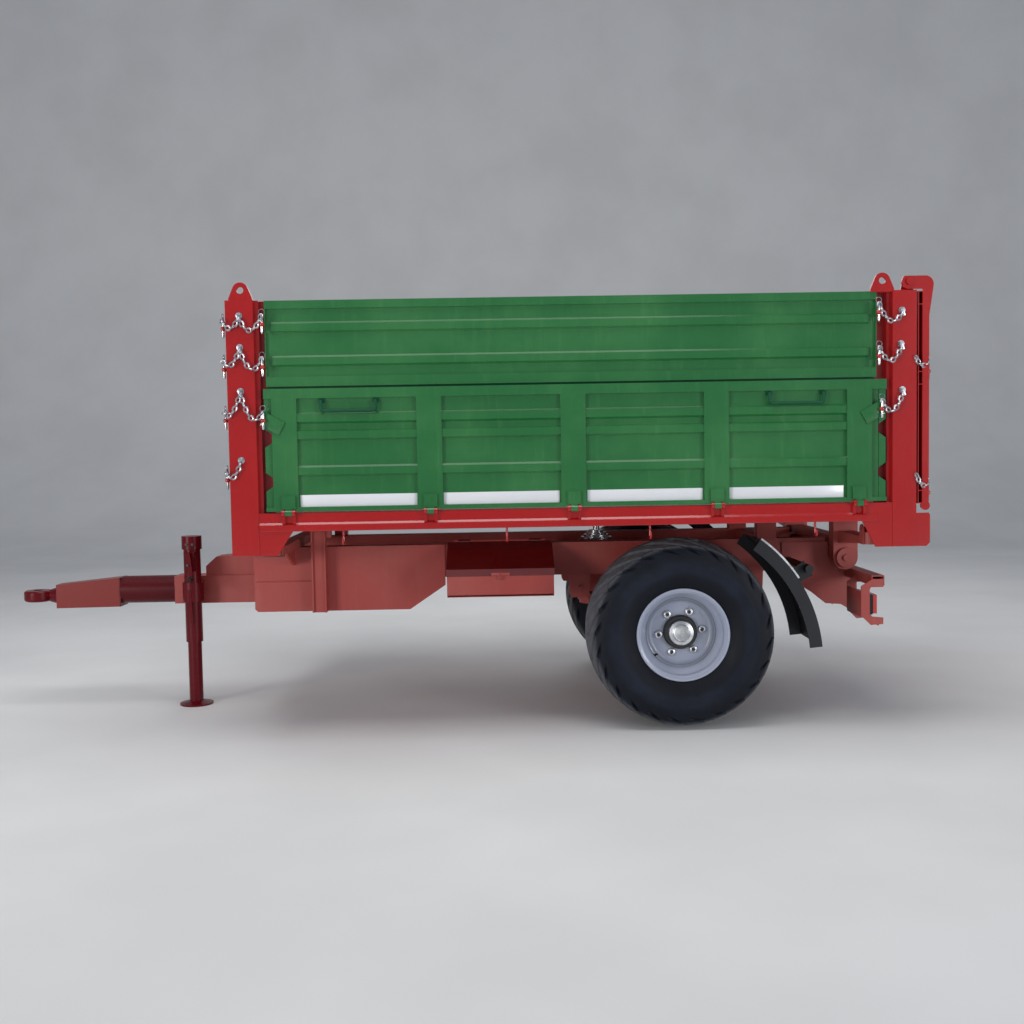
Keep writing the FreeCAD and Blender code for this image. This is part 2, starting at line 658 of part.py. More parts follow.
def drawbar_nose():
    """Round sleeve and the forged taper in front of it."""
    mid_z = BEAM_BOTTOM_Z + BEAM_HEIGHT / 2
    sleeve = along_x(0, mid_z, SLEEVE_FRONT_X, SLEEVE_REAR_X, BEAM_HEIGHT)
    sleeve = sleeve.cut(along_x(0, mid_z, SLEEVE_FRONT_X + 60, SLEEVE_REAR_X + 1, BEAM_HEIGHT - 24))
    big = Part.makePolygon(section(SLEEVE_FRONT_X, mid_z - 8, BEAM_WIDTH - 16, BEAM_HEIGHT + 8))
    tip_z = mid_z - TAPER_DROP
    small = Part.makePolygon(section(TAPER_FRONT_X, tip_z, TAPER_TIP_WIDTH, TAPER_TIP_HEIGHT))
    taper = Part.makeLoft([big, small], True, True)
    return fuse(sleeve, taper)


def section(x, z, width, height):
    w, h = width / 2, height / 2
    return [V(x, -w, z - h), V(x, w, z - h), V(x, w, z + h), V(x, -w, z + h), V(x, -w, z - h)]


def towing_eye():
    """Forged ring with a vertical bore, on a shank that tapers into the drawbar."""
    half = EYE_THICK / 2
    ring = along_z(EYE_X, 0, EYE_Z - half, EYE_Z + half, EYE_OUTER_DIA)
    ring = ring.makeFillet(14.0, [e for e in ring.Edges if e.Closed and abs(e.Length) > 200])
    neck_start = EYE_X + EYE_OUTER_DIA / 2 - 22
    shank = Part.makeCone(SHANK_DIA / 2, 46.0, TAPER_FRONT_X - neck_start, V(neck_start, 0, EYE_Z), V(1, 0, 0))
    shape = fuse(ring, shank)
    return shape.cut(along_z(EYE_X, 0, EYE_Z - half - 1, EYE_Z + half + 1, EYE_BORE_DIA))


# ================================================================ jack
def jack_housing():
    bore = JACK_LEG_DIA + 2 * JACK_CLEARANCE
    tube = along_z(JACK_X, JACK_Y, JACK_BOTTOM_Z, JACK_TOP_Z, JACK_TUBE_DIA)
    tube = tube.cut(along_z(JACK_X, JACK_Y, JACK_BOTTOM_Z - 1, JACK_TOP_Z - JACK_LID, bore))
    cap = along_z(JACK_X, JACK_Y, JACK_TOP_Z, JACK_TOP_Z + JACK_CAP, JACK_CAP_DIA)
    outer = JACK_TUBE_DIA / 2
    mount = box(JACK_X - 36, JACK_X + 36, JACK_Y + outer - 12, -BEAM_WIDTH / 2, 540, 640)
    clamp = along_z(JACK_X, JACK_Y, 540, 640, JACK_TUBE_DIA + 20)
    bracket = fuse(mount, clamp).cut(along_z(JACK_X, JACK_Y, 500, 700, JACK_TUBE_DIA - 1))
    gear = box(JACK_X - 26, JACK_X + 26, JACK_Y - outer - 22, JACK_Y - outer + 10, 700, 800)
    gear = gear.cut(along_z(JACK_X, JACK_Y, 600, 800, JACK_TUBE_DIA - 1))
    arm = along_y(JACK_X, 785, JACK_Y - outer - 42, JACK_Y - outer - 20, 20)
    crank = plate_xz(
        [(JACK_X - 11, 797), (JACK_X + 11, 797), (JACK_X + 27, 655), (JACK_X + 7, 653)],
        JACK_Y - outer - 50, JACK_Y - outer - 40,
    )
    grip = along_y(JACK_X + 17, 666, JACK_Y - outer - 110, JACK_Y - outer - 48, 22)
    lever = plate_xz(
        [(JACK_X - 14, 600), (JACK_X + 2, 604), (JACK_X + 10, 428), (JACK_X - 4, 426)],
        JACK_Y - outer - 12, JACK_Y - outer + 6,
    )
    lever = lever.cut(along_z(JACK_X, JACK_Y, 400, 800, JACK_TUBE_DIA - 1))
    return fuse(tube, cap, bracket, gear, arm, crank, grip, lever)


def jack_leg():
    leg = along_z(JACK_X, JACK_Y, JACK_FOOT, JACK_LEG_TOP_Z, JACK_LEG_DIA)
    leg = leg.cut(along_z(JACK_X, JACK_Y, JACK_FOOT + 20, JACK_LEG_TOP_Z + 1, JACK_LEG_DIA - 12))
    foot = along_z(JACK_X, JACK_Y, 0, 8, JACK_FOOT_DIA)
    skirt = Part.makeCone(JACK_FOOT_DIA / 2 - 4, JACK_LEG_DIA / 2 + 4, JACK_FOOT - 8, V(JACK_X, JACK_Y, 8))
    return fuse(leg, foot, skirt)


# ================================================================ toolbox
def toolbox():
    back = -RAIL_OUTER_Y
    front = -BOX_OUTER_Y
    outline = [(back, BOX_BOTTOM_Z), (front + 14, BOX_BOTTOM_Z), (front, BOX_BOTTOM_Z + 14)]
    outline += [(front, BOX_LIP_Z), (back, BOX_BACK_Z - 8)]
    t = BOX_SHEET
    inside = [(back - t, BOX_BOTTOM_Z + t), (front + t, BOX_BOTTOM_Z + t)]
    inside += [(front + t, BOX_BACK_Z + 50), (back - t, BOX_BACK_Z + 50)]
    tub = plate_yz(outline, BOX_FRONT_X, BOX_REAR_X)
    tub = tub.cut(plate_yz(inside, BOX_FRONT_X + t, BOX_REAR_X - t))
    pin = along_x(*lid_axis(), BOX_FRONT_X + 30, BOX_REAR_X - 30, LID_HINGE_DIA - 0.8)
    lugs = []
    for x in (BOX_FRONT_X + 30, BOX_REAR_X - 40):
        lugs.append(box(x, x + 10, back - 12, back, BOX_BACK_Z - 20, BOX_BACK_Z + 6))
    return fuse(tub, pin, *lugs)


def lid_axis():
    return -RAIL_OUTER_Y - 8.0, BOX_BACK_Z


def toolbox_lid():
    """Sloping lid with a turned-down lip, and knuckles round the hinge pin."""
    back, front = -RAIL_OUTER_Y - 8.0, -BOX_OUTER_Y - LID_GAP
    lip = BOX_LIP_Z + LID_GAP
    t = LID_SHEET
    outline = [(back - 8, BOX_BACK_Z - 9 + LID_GAP), (front, lip), (front, lip - 30)]
    outline += [(front - t, lip - 30), (front - t, lip + t), (back - 8, BOX_BACK_Z - 9 + LID_GAP + t + 2)]
    lid = plate_yz(outline, BOX_FRONT_X - 3, BOX_REAR_X + 3)
    y, z = lid_axis()
    shape = lid
    for x in (BOX_FRONT_X + 50, BOX_REAR_X - 110):
        knuckle = along_x(y, z, x, x + 60, LID_HINGE_DIA + 6)
        leaf = box(x, x + 60, back - 40, y, z - 16, z - 2)
        leaf = leaf.common(plate_yz([(back - 60, z - 40), (y, z - 9), (y, z), (back - 60, z - 27)], x, x + 60))
        shape = fuse(shape, knuckle, leaf)
    return shape.cut(along_x(y, z, BOX_FRONT_X, BOX_REAR_X, LID_HINGE_DIA))


# ================================================================ tipping gear
def cup(x, y):
    """Shallow round seat for a pivot ball, standing on the beam below it."""
    rim = PIVOT_Z - CUP_RIM_DROP
    block = along_z(x, y, BOLSTER_TOP_Z - 3, rim, CUP_DIA)
    ball = Part.makeSphere(BALL_DIA / 2 + BALL_CLEARANCE, V(x, y, PIVOT_Z))
    return block, ball


def lock_bore(x, y):
    """Hole for the pin that locks a ball into its cup, along the tipping axis."""
    reach = EAR_GAP + EAR_THICK + 5
    return along_x(y, PIVOT_Z, x - reach, x + reach, LOCK_BORE)


def bolster_shape(x0, x1, bottom_z, cup_x):
    """Beam across the chassis with a cup at each end, tapered beyond the rails."""
    end = BOLSTER_END_Y
    deep = FRAME_HALF + 70
    top = BOLSTER_TOP_Z
    tip = top - 34
    outline = [(-end, tip), (-deep, bottom_z), (deep, bottom_z), (end, tip), (end, top), (-end, top)]
    shape = plate_yz(outline, x0, x1)
    balls = []
    for y in (-PIVOT_Y, PIVOT_Y):
        block, ball = cup(cup_x, y)
        side = 1 if y > 0 else -1
        pad = along_z(cup_x, y, tip, top, CUP_DIA)
        link = box(cup_x - 35, cup_x + 35, side * (end - 1), y, tip, top)
        shape = fuse(shape, block, pad, link)
        for end_x in (cup_x - EAR_GAP - EAR_THICK, cup_x + EAR_GAP):
            ear = along_x(y, PIVOT_Z, end_x, end_x + EAR_THICK, EAR_DIA)
            foot = box(end_x, end_x + EAR_THICK, y - EAR_DIA / 2, y + EAR_DIA / 2, tip, PIVOT_Z)
            shape = fuse(shape, ear, foot)
        balls.append(ball)
        balls.append(lock_bore(cup_x, y))
    for ball in balls:
        shape = shape.cut(ball)
    return shape


def front_bolster():
    x0 = FRONT_PIVOT_X - BOLSTER_WIDTH / 2
    x1 = FRONT_PIVOT_X + BOLSTER_WIDTH / 2
    shape = bolster_shape(x0, x1, RAIL_TOP_Z, FRONT_PIVOT_X)
    for side in (-1, 1):
        y0 = side * FRAME_HALF
        wing = plate_yz(
            [(y0, RAIL_TOP_Z - 90), (side * (FRAME_HALF + 250), RAIL_TOP_Z), (y0, RAIL_TOP_Z)],
            FRONT_PIVOT_X - 6, FRONT_PIVOT_X + 6,
        )
        shape = fuse(shape, wing)
    return shape


def rear_cradle():
    """Two boxed uprights that turn on the cross tube and carry the rear cups."""
    beam_x0 = REAR_PIVOT_X - CRADLE_BEAM_WIDTH / 2
    beam_x1 = REAR_PIVOT_X + CRADLE_BEAM_WIDTH / 2
    shape = bolster_shape(beam_x0, beam_x1, CRADLE_BEAM_BOTTOM_Z, REAR_PIVOT_X)
    inner = CRADLE_INNER_Y + 2
    shape = shape.cut(box(beam_x0 - 1, beam_x1 + 1, -inner, inner, CRADLE_BEAM_BOTTOM_Z - 1, BOLSTER_TOP_Z + 1))
    low = CROSS_TUBE_Z + CROSS_TUBE_DIA / 2 + 8
    shape = fuse(shape, box(beam_x0, beam_x1, -inner, inner, low, low + CRADLE_TIE_HEIGHT))
    half = CRADLE_HALF
    for side in (-1, 1):
        y0 = side * CRADLE_INNER_Y
        y1 = side * (CRADLE_INNER_Y + CRADLE_THICK)
        upright = box(REAR_PIVOT_X - half, REAR_PIVOT_X + half, y0, y1, CROSS_TUBE_Z, COLUMN_TOP_Z)
        boss = along_y(REAR_PIVOT_X, CROSS_TUBE_Z, y0, y1, 2 * half)
        shape = fuse(shape, upright, boss)
    bore = CROSS_TUBE_DIA + 2 * TUBE_CLEARANCE
    return shape.cut(along_y(REAR_PIVOT_X, CROSS_TUBE_Z, -600, 600, bore))


def pivot_ball(x):
    # poles along X, so that the bore runs from pole to pole
    ball = Part.makeSphere(BALL_DIA / 2, V(x, PIVOT_Y, PIVOT_Z), V(1, 0, 0))
    return ball.cut(lock_bore(x, PIVOT_Y))


def ram_cradle():
    """Two cross beams with bearing plates for the ram's trunnions.

    The rear beam stands further off, because the ram leans back as it rises.
    """
    bearing_y = RAM_DIA / 2 + 14
    front_x = RAM_X - RAM_CRADLE_GAP
    rear_x = RAM_X + RAM_CRADLE_REAR_GAP
    top = RAIL_TOP_Z - 60
    pieces = [
        cross_member(front_x - CROSS_WIDTH, front_x, RAIL_BOTTOM_Z, top, RAIL_INNER_Y),
        cross_member(rear_x, rear_x + CROSS_WIDTH, RAIL_BOTTOM_Z, top, RAIL_INNER_Y),
    ]
    for side in (-1, 1):
        y0, y1 = side * bearing_y, side * (bearing_y + 16)
        outline = [(front_x, RAIL_BOTTOM_Z + 60), (front_x, RAIL_BOTTOM_Z)]
        outline += [(RAM_X - 46, RAM_BASE_Z - 40), (RAM_X + 46, RAM_BASE_Z - 40)]
        outline += [(rear_x, RAIL_BOTTOM_Z), (rear_x, RAIL_BOTTOM_Z + 60)]
        pieces.append(plate_xz(outline, y0, y1))
    shape = fuse(*pieces)
    hole = RAM_TRUNNION_DIA + 2 * RAM_CLEARANCE
    return shape.cut(along_y(RAM_X, RAM_BASE_Z, -400, 400, hole))


def ram_radius(step):
    """Outer radius of stage number step; stage 0 is the barrel."""
    if step == 0:
        return RAM_DIA / 2
    first = RAM_DIA / 2 - RAM_WALL
    return first - (step - 1) * RAM_STEP - RAM_CLEARANCE


def ram_barrel():
    bottom = RAM_BASE_Z - 44
    body = along_z(RAM_X, 0, bottom, RAM_BARREL_TOP_Z, RAM_DIA)
    body = body.cut(along_z(RAM_X, 0, bottom + 16, RAM_BARREL_TOP_Z + 1, RAM_DIA - 2 * RAM_WALL))
    collar = along_z(RAM_X, 0, RAM_BASE_Z - 26, RAM_BASE_Z + 26, RAM_DIA + 16)
    collar = collar.cut(along_z(RAM_X, 0, 0, 2000, RAM_DIA - 1))
    reach = RAM_DIA / 2 + 14 + 20
    pins = along_y(RAM_X, RAM_BASE_Z, -reach, reach, RAM_TRUNNION_DIA)
    pins = pins.cut(along_z(RAM_X, 0, 0, 2000, RAM_DIA - 1))
    return fuse(body, collar, pins)


def ram_stage(step):
    outer = ram_radius(step)
    bottom = RAM_BASE_Z - 44 + 16 + 4 * step
    top = RAM_BARREL_TOP_Z + RAM_LIP * step
    if step < RAM_STAGES:
        inner = ram_radius(step + 1) + RAM_CLEARANCE
        stage = along_z(RAM_X, 0, bottom, top, 2 * outer)
        return stage.cut(along_z(RAM_X, 0, bottom + 3.6, top + 1, 2 * inner))
    ball_r = RAM_BALL_DIA / 2
    stage = along_z(RAM_X, 0, bottom, top, 2 * outer)
    neck = along_z(RAM_X, 0, top - 1, RAM_TOP_Z, 34)
    ball = Part.makeSphere(ball_r, V(RAM_X, 0, RAM_TOP_Z))
    return fuse(stage, neck, ball)


# ================================================================ floor
def floor_frame():
    """Side channels, end channels, sills and cross bearers under the floor."""
    z0, z1 = FLOOR_RAIL_BOTTOM_Z, FLOOR_SHEET_BOTTOM_Z
    w, t = FLOOR_RAIL_FLANGE, FLOOR_RAIL_WALL
    x0, x1 = FRONT_POST_REAR_X, REAR_POST_X
    end0, end1 = FRONT_POST_X + 6, REAR_POST_END_X - 6
    pieces = []
    for side in (-1, 1):
        web = box(x0, x1, side * (BODY_HALF - t), side * BODY_HALF, z0, FLOOR_TOP_Z)
        low = box(x0, x1, side * (BODY_HALF - w), side * BODY_HALF, z0, z0 + t)
        high = box(x0, x1, side * (BODY_HALF - w), side * BODY_HALF, z1 - t, z1)
        sill = tube_x(end0, end1, side * SILL_Y - 30, side * SILL_Y + 30, z0, z1, t)
        lip = box(x0, x1, side * (BODY_HALF - 1), side * (BODY_HALF + RAIL_LIP), z0, z0 + RAIL_LIP_HEIGHT)
        pieces += [web, low, high, sill, lip]
    for a, b in ((end0, end0 + 60), (end1 - 60, end1)):
        pieces.append(tube_y(a, b, -POST_INNER_Y, POST_INNER_Y, z0, z1, t))
    # bearers under the floor, the first over the bolster and the last over the cradle
    step = (REAR_PIVOT_X - FRONT_PIVOT_X) / (FLOOR_CROSS_COUNT - 1)
    half = FLOOR_CROSS_WIDTH / 2
    for i in range(FLOOR_CROSS_COUNT):
        x = FRONT_PIVOT_X + i * step
        reach = BODY_HALF - t
        pieces.append(tube_y(x - half, x + half, -reach, reach, z0, z1, t))
    pieces.append(ram_socket())
    for x in (FRONT_PIVOT_X, REAR_PIVOT_X):
        for y in (-PIVOT_Y, PIVOT_Y):
            pieces.append(along_z(x, y, PIVOT_Z + 12, z0 + 1, CAP_DIA))
        pieces.append(Part.makeSphere(BALL_DIA / 2, V(x, -PIVOT_Y, PIVOT_Z), V(1, 0, 0)))
    for x in HINGE_X:
        for side in (-1, 1):
            pieces.append(hinge_ears(x, side))
    shape = fuse(*pieces)
    for x in (FRONT_PIVOT_X, REAR_PIVOT_X):
        shape = shape.cut(Part.makeSphere(BALL_DIA / 2 + BALL_CLEARANCE, V(x, PIVOT_Y, PIVOT_Z), V(1, 0, 0)))
        shape = shape.cut(lock_bore(x, -PIVOT_Y))
    return shape


def ram_socket():
    """Ring that the ram's ball pushes into, with plates out to the sills."""
    z0, z1 = RAM_TOP_Z - 10, FLOOR_SHEET_BOTTOM_Z
    outer = SOCKET_BORE + 2 * SOCKET_WALL
    ring = along_z(RAM_X, 0, z0, z1, outer)
    plate = box(RAM_X - 6, RAM_X + 6, 30 - SILL_Y, SILL_Y - 30, FLOOR_RAIL_BOTTOM_Z, z1)
    return fuse(ring, plate).cut(along_z(RAM_X, 0, z0 - 1, z1 - 12, SOCKET_BORE))


def hinge_ears(x, side):
    """Two ears on the side rail with the hinge pin through them."""
    gap = KNUCKLE_LENGTH / 2 + 1.5
    pieces = []
    y_face = side * BODY_HALF
    y_axis = side * HINGE_AXIS_Y
    for x0 in (x - HINGE_WIDTH / 2, x + gap):
        x1 = x0 + HINGE_WIDTH / 2 - gap
        pieces.append(along_x(y_axis, HINGE_AXIS_Z, x0, x1, KNUCKLE_DIA))
        pieces.append(box(x0, x1, y_face, y_axis - side * 4, EAR_BOTTOM_Z, HINGE_AXIS_Z))
    pieces.append(along_x(y_axis, HINGE_AXIS_Z, x - HINGE_WIDTH / 2, x + HINGE_WIDTH / 2, HINGE_PIN_DIA))
    return fuse(*pieces)


def floor_sheet():
    y = POST_INNER_Y
    shape = box(FRONT_POST_X + 6, REAR_POST_END_X - 6, -y, y, FLOOR_SHEET_BOTTOM_Z, FLOOR_TOP_Z)
    wide = BODY_HALF - FLOOR_RAIL_WALL
    middle = box(FRONT_POST_REAR_X, REAR_POST_X, -wide, wide, FLOOR_SHEET_BOTTOM_Z, FLOOR_TOP_Z)
    return fuse(shape, middle)


# ================================================================ posts
def lug(x):
    """Lifting lug: a round-topped plate with an eye, flared to its foot."""
    foot = POST_TOP_Z
    r = LUG_TOP_Z - LUG_HOLE_Z
    half = LUG_WIDTH / 2
    y1 = -BODY_HALF + 2
    y0 = y1 + LUG_THICK
    blend = 0.9
    left = V(x - r * blend, y1, LUG_HOLE_Z + r * math.sqrt(1 - blend * blend))
    right = V(x + r * blend, y1, left.z)
    wire = Part.Wire([
        Part.LineSegment(V(x - half, y1, foot), V(x - half, y1, foot + 8)).toShape(),
        Part.LineSegment(V(x - half, y1, foot + 8), left).toShape(),
        Part.Arc(left, V(x, y1, LUG_TOP_Z), right).toShape(),
        Part.LineSegment(right, V(x + half, y1, foot + 8)).toShape(),
        Part.LineSegment(V(x + half, y1, foot + 8), V(x + half, y1, foot)).toShape(),
        Part.LineSegment(V(x + half, y1, foot), V(x - half, y1, foot)).toShape(),
    ])
    plate = Part.Face(wire).extrude(V(0, y0 - y1, 0))
    return plate.cut(along_y(x, LUG_HOLE_Z, y1 - 1, y0 + 1, LUG_HOLE_DIA))


def post_front():
    x0, x1 = FRONT_POST_X, FRONT_POST_REAR_X
    y0, y1 = -BODY_HALF, -POST_INNER_Y
    bottom = FRONT_SKIRT_BOTTOM_Z + 8
    tube = tube_z(x0, x1, y0, y1, bottom, POST_TOP_Z, POST_WALL)
    cap = box(x0, x1, y0, y1, POST_TOP_Z - POST_WALL, POST_TOP_Z)
    flange = box(x1, x1 + POST_FLANGE, y1 - POST_FLANGE_THICK, y1, FLOOR_TOP_Z, POST_TOP_Z)
    groove = box(x1, x1 + POST_GROOVE, y0 + 22, y1, FLOOR_TOP_Z, POST_TOP_Z)
    slope = (FLOOR_RAIL_BOTTOM_Z, FRONT_SKIRT_BOTTOM_Z)
    outline = [(x0 + 100, slope[0]), (x0 + 100, slope[1]), (x1 + 76, slope[1]), (x1 + 148, slope[0])]
    skirt = plate_xz(outline, y0, y0 + SKIRT_PLATE)
    shape = fuse(tube, cap, flange, groove, skirt)
    foot = box(FRONT_LUG_X - LUG_WIDTH / 2, FRONT_LUG_X + LUG_WIDTH / 2, y0 + 2, y0 + 2 + LUG_THICK, POST_TOP_Z - 2, POST_TOP_Z + 2)
    return fuse(shape, foot, lug(FRONT_LUG_X))


def post_rear():
    x0, x1 = REAR_POST_X, REAR_POST_END_X
    y0, y1 = -BODY_HALF, -POST_INNER_Y
    bottom = REAR_SKIRT_BOTTOM_Z + 8
    tube = tube_z(x0, x1, y0, y1, bottom, POST_TOP_Z, POST_WALL)
    cap = box(x0, x1, y0, y1, POST_TOP_Z - POST_WALL, POST_TOP_Z)
    flange = box(x0 - POST_FLANGE, x0, y1 - POST_FLANGE_THICK, y1, FLOOR_TOP_Z, POST_TOP_Z)
    groove = box(x0 - POST_GROOVE, x0, y0 + 22, y1, FLOOR_TOP_Z, POST_TOP_Z)
    low, high = REAR_SKIRT_BOTTOM_Z, FLOOR_RAIL_BOTTOM_Z
    end = REAR_SKIRT_END_X
    outline = [(x0 - 134, high), (x0 - 73, low), (end - 16, low), (end, low + 16)]
    outline += [(end, GATE_BOTTOM_Z - 20), (end - 6, GATE_BOTTOM_Z - 12), (x1, GATE_BOTTOM_Z - 12), (x1, high)]
    skirt = plate_xz(outline, y0, y0 + SKIRT_PLATE)
    lug_plate = lug(REAR_LUG_X)
    foot = box(REAR_LUG_X - LUG_WIDTH / 2, REAR_LUG_X + LUG_WIDTH / 2, y0 + 2, y0 + 2 + LUG_THICK, POST_TOP_Z - 6, POST_TOP_Z + 2)
    rib = box(REAR_LUG_X - 21, x0, y0 + 14, y1, POST_TOP_Z - 8, POST_TOP_Z)
    # ear with the bolt that the tailgate hangs on
    ear_y0, ear_y1 = -EAR_INNER_Y, -EAR_INNER_Y + EAR_PLATE
    ear = [(GATE_PIVOT_X - 30, POST_TOP_Z), (GATE_PIVOT_X - 18, GATE_PIVOT_Z + 18)]
    ear += [(GATE_PIVOT_X + 18, GATE_PIVOT_Z + 18), (GATE_PIVOT_X + 30, POST_TOP_Z)]
    ear_plate = plate_xz(ear, ear_y0, ear_y1)
    bolt = along_y(GATE_PIVOT_X, GATE_PIVOT_Z, -HOOK_OUTER_Y - 8, ear_y1, GATE_BOLT_DIA)
    head = along_y(GATE_PIVOT_X, GATE_PIVOT_Z, -HOOK_OUTER_Y - 8, -HOOK_OUTER_Y - 1, GATE_BOLT_DIA + 12)
    return fuse(tube, cap, flange, groove, skirt, rib, foot, lug_plate, ear_plate, bolt, head)


# ================================================================ boards
def rib_strip(x0, x1, z, y_skin):
    """Pressed rib: a trapezoid swage standing out of the sheet."""
    h, d = RIB_HEIGHT / 2, RIB_DEPTH
    outline = [(y_skin, z - h), (y_skin - d, z - h + 9), (y_skin - d, z + h - 9), (y_skin, z + h)]
    return plate_yz(outline, x0, x1)


def board_end_notches(x_edge, side):
    """Trapezoid notches in the end of the board, that clear the post's locks."""
    cuts = []
    for z in NOTCH_Z:
        h = NOTCH_HEIGHT / 2
        outline = [(x_edge - side * 5, z - h - 3), (x_edge + side * NOTCH_DEPTH, z - h + 24)]
        outline += [(x_edge + side * NOTCH_DEPTH, z + h - 24), (x_edge - side * 5, z + h + 3)]
        cuts.append(plate_xz(outline, -BOARD_OUTER_Y - 1, -BOARD_INNER_Y + 1))
    return cuts


def side_board():
    """Lower side board: skin, frame of stiles and rails, ribs and hinge straps."""
    x0, x1 = LOWER_FRONT_X, LOWER_REAR_X
    z0, z1 = BOARD_BOTTOM_Z, LOWER_TOP_Z
    inner, outer = -BOARD_INNER_Y, -BOARD_OUTER_Y
    skin_y = outer + PANEL_RECESS
    pieces = [box(x0, x1, skin_y, skin_y + BOARD_SKIN, z0, z1)]
    pieces.append(box(x0, x1, inner - BOARD_SKIN, inner, z0, z1))
    pieces.append(tube_x(x0, x1, outer, inner, z1 - TOP_RAIL, z1, BOARD_SKIN))
    pieces.append(box(x0, x1, outer, inner, z0, z0 + BOTTOM_RAIL))
    half = STILE_WIDTH / 2
    for x in STILE_X:
        a, b = max(x - half, x0), min(x + half, x1)
        pieces.append(tube_z(a, b, outer, inner, z0, z1, BOARD_SKIN))
    for x in (x0, x1 - 30):
        pieces.append(box(x, x + 30, outer + 12, inner, z0, z1))
    gaps = list(zip(STILE_X[:-1], STILE_X[1:]))
    for a, b in gaps:
        for z in LOWER_RIB_Z:
            pieces.append(rib_strip(a + half, b - half, z, skin_y))
    shape = fuse(*pieces)
    for cutter in board_end_notches(x0, 1) + board_end_notches(x1, -1):
        shape = shape.cut(cutter)
    return fuse(shape, *[hinge_strap(x) for x in HINGE_X])


def hinge_strap(x):
    """Strap on the board with a knuckle round the hinge pin."""
    half, knuckle = HINGE_WIDTH / 2, KNUCKLE_LENGTH / 2
    y0 = -BOARD_OUTER_Y
    clear_z = HINGE_AXIS_Z + KNUCKLE_DIA / 2 + 5
    wide = box(x - half, x + half, y0 - 10, y0, clear_z, STRAP_TOP_Z)
    narrow = box(x - knuckle, x + knuckle, y0 - 10, y0, HINGE_AXIS_Z + 6, clear_z)
    ring = along_x(-HINGE_AXIS_Y, HINGE_AXIS_Z, x - knuckle, x + knuckle, KNUCKLE_DIA)
    shape = fuse(wide, narrow, ring)
    bore = HINGE_PIN_DIA + 2 * HINGE_CLEARANCE
    return shape.cut(along_x(-HINGE_AXIS_Y, HINGE_AXIS_Z, x - knuckle - 1, x + knuckle + 1, bore))


def upper_board():
    """Upper side board, pinned to the posts: folded sheet with two ribs."""
    x0, x1 = UPPER_FRONT_X, UPPER_REAR_X
    z0, z1 = UPPER_BOTTOM_Z, POST_TOP_Z - 2
    inner = -POST_INNER_Y - POST_FLANGE_THICK
    outer = inner - UPPER_THICK
    pieces = [box(x0, x1, inner - BOARD_SKIN, inner, z0, z1)]
    pieces.append(box(x0, x1, outer + 12, outer + 12 + BOARD_SKIN, z0, z1))
    pieces.append(tube_x(x0, x1, outer, inner, z1 - 36, z1, BOARD_SKIN))
    pieces.append(tube_x(x0, x1, outer, inner, z0, z0 + 44, BOARD_SKIN))
    for z in UPPER_RIB_Z:
        pieces.append(rib_strip(x0 + 29, x1 - 35, z, outer + 12))
    for x in (x0, x1 - 4):
        pieces.append(box(x, x + 4, outer, inner, z0, z1))
    return fuse(*pieces)


def front_board():
    """Headboard between the front posts: lower and upper panel with ribs."""
    y = POST_INNER_Y - 1
    x0 = FRONT_POST_X + 10
    x1 = x0 + 44
    skin = x0 + 14
    z0, z1 = FLOOR_TOP_Z, POST_TOP_Z - 2
    pieces = [box(skin, skin + BOARD_SKIN, -y, y, z0, z1)]
    for a, b in ((z0, z0 + 40), (1548, 1588), (1598, 1638), (z1 - 36, z1)):
        pieces.append(tube_y(x0, x1, -y, y, a, b, BOARD_SKIN))
    for yy in (-y, -y / 3 - 20, y / 3 - 20, y - 40):
        pieces.append(tube_z(x0, x1, yy, yy + 40, z0, z1, BOARD_SKIN))
    h = RIB_HEIGHT / 2
    for z in LOWER_RIB_Z + UPPER_RIB_Z:
        outline = [V(skin, -y, z - h), V(skin - RIB_DEPTH, -y, z - h + 9)]
        outline += [V(skin - RIB_DEPTH, -y, z + h - 9), V(skin, -y, z + h)]
        pieces.append(prism(outline, V(0, 2 * y, 0)))
    return fuse(*pieces)


# ================================================================ tailgate
def tailgate():
    """Top-hung gate: ribbed panel in a frame, with hook plates over the posts."""
    x0, x1 = GATE_FRONT_X, GATE_FRONT_X + GATE_DEPTH
    y = HOOK_OUTER_Y
    z0, z1 = GATE_BOTTOM_Z, GATE_TOP_Z
    f, t = GATE_FRAME, GATE_SKIN
    pieces = [box(x0, x0 + t, -y, y, z0 + 30, z1)]
    pieces.append(box(x0 + 26, x0 + 26 + t, -y + 30, y - 30, z0 + 30, z1 - 30))
    for a, b in ((z0 + 30, z0 + 30 + f), (z1 - f, z1), (1560, 1560 + f)):
        pieces.append(tube_y(x0, x1, -y, y, a, b, t))
    for yy in (-y / 3 - f / 2, y / 3 - f / 2):
        pieces.append(tube_z(x0, x1, yy, yy + f, z0 + 30, z1, t))
    h = RIB_HEIGHT / 2
    face = x0 + 26 + t
    for z in LOWER_RIB_Z + UPPER_RIB_Z:
        outline = [V(face, -y + 30, z - h), V(face + RIB_DEPTH, -y + 30, z - h + 9)]
        outline += [V(face + RIB_DEPTH, -y + 30, z + h - 9), V(face, -y + 30, z + h)]
        pieces.append(prism(outline, V(0, 2 * (y - 30), 0)))
    for side in (-1, 1):
        pieces.append(hook_arm(side))
    shape = fuse(*pieces)
    hole = GATE_BOLT_DIA + 2 * HINGE_CLEARANCE
    reach = HOOK_OUTER_Y + 20
    return shape.cut(along_y(GATE_PIVOT_X, GATE_PIVOT_Z, -reach, reach, hole))


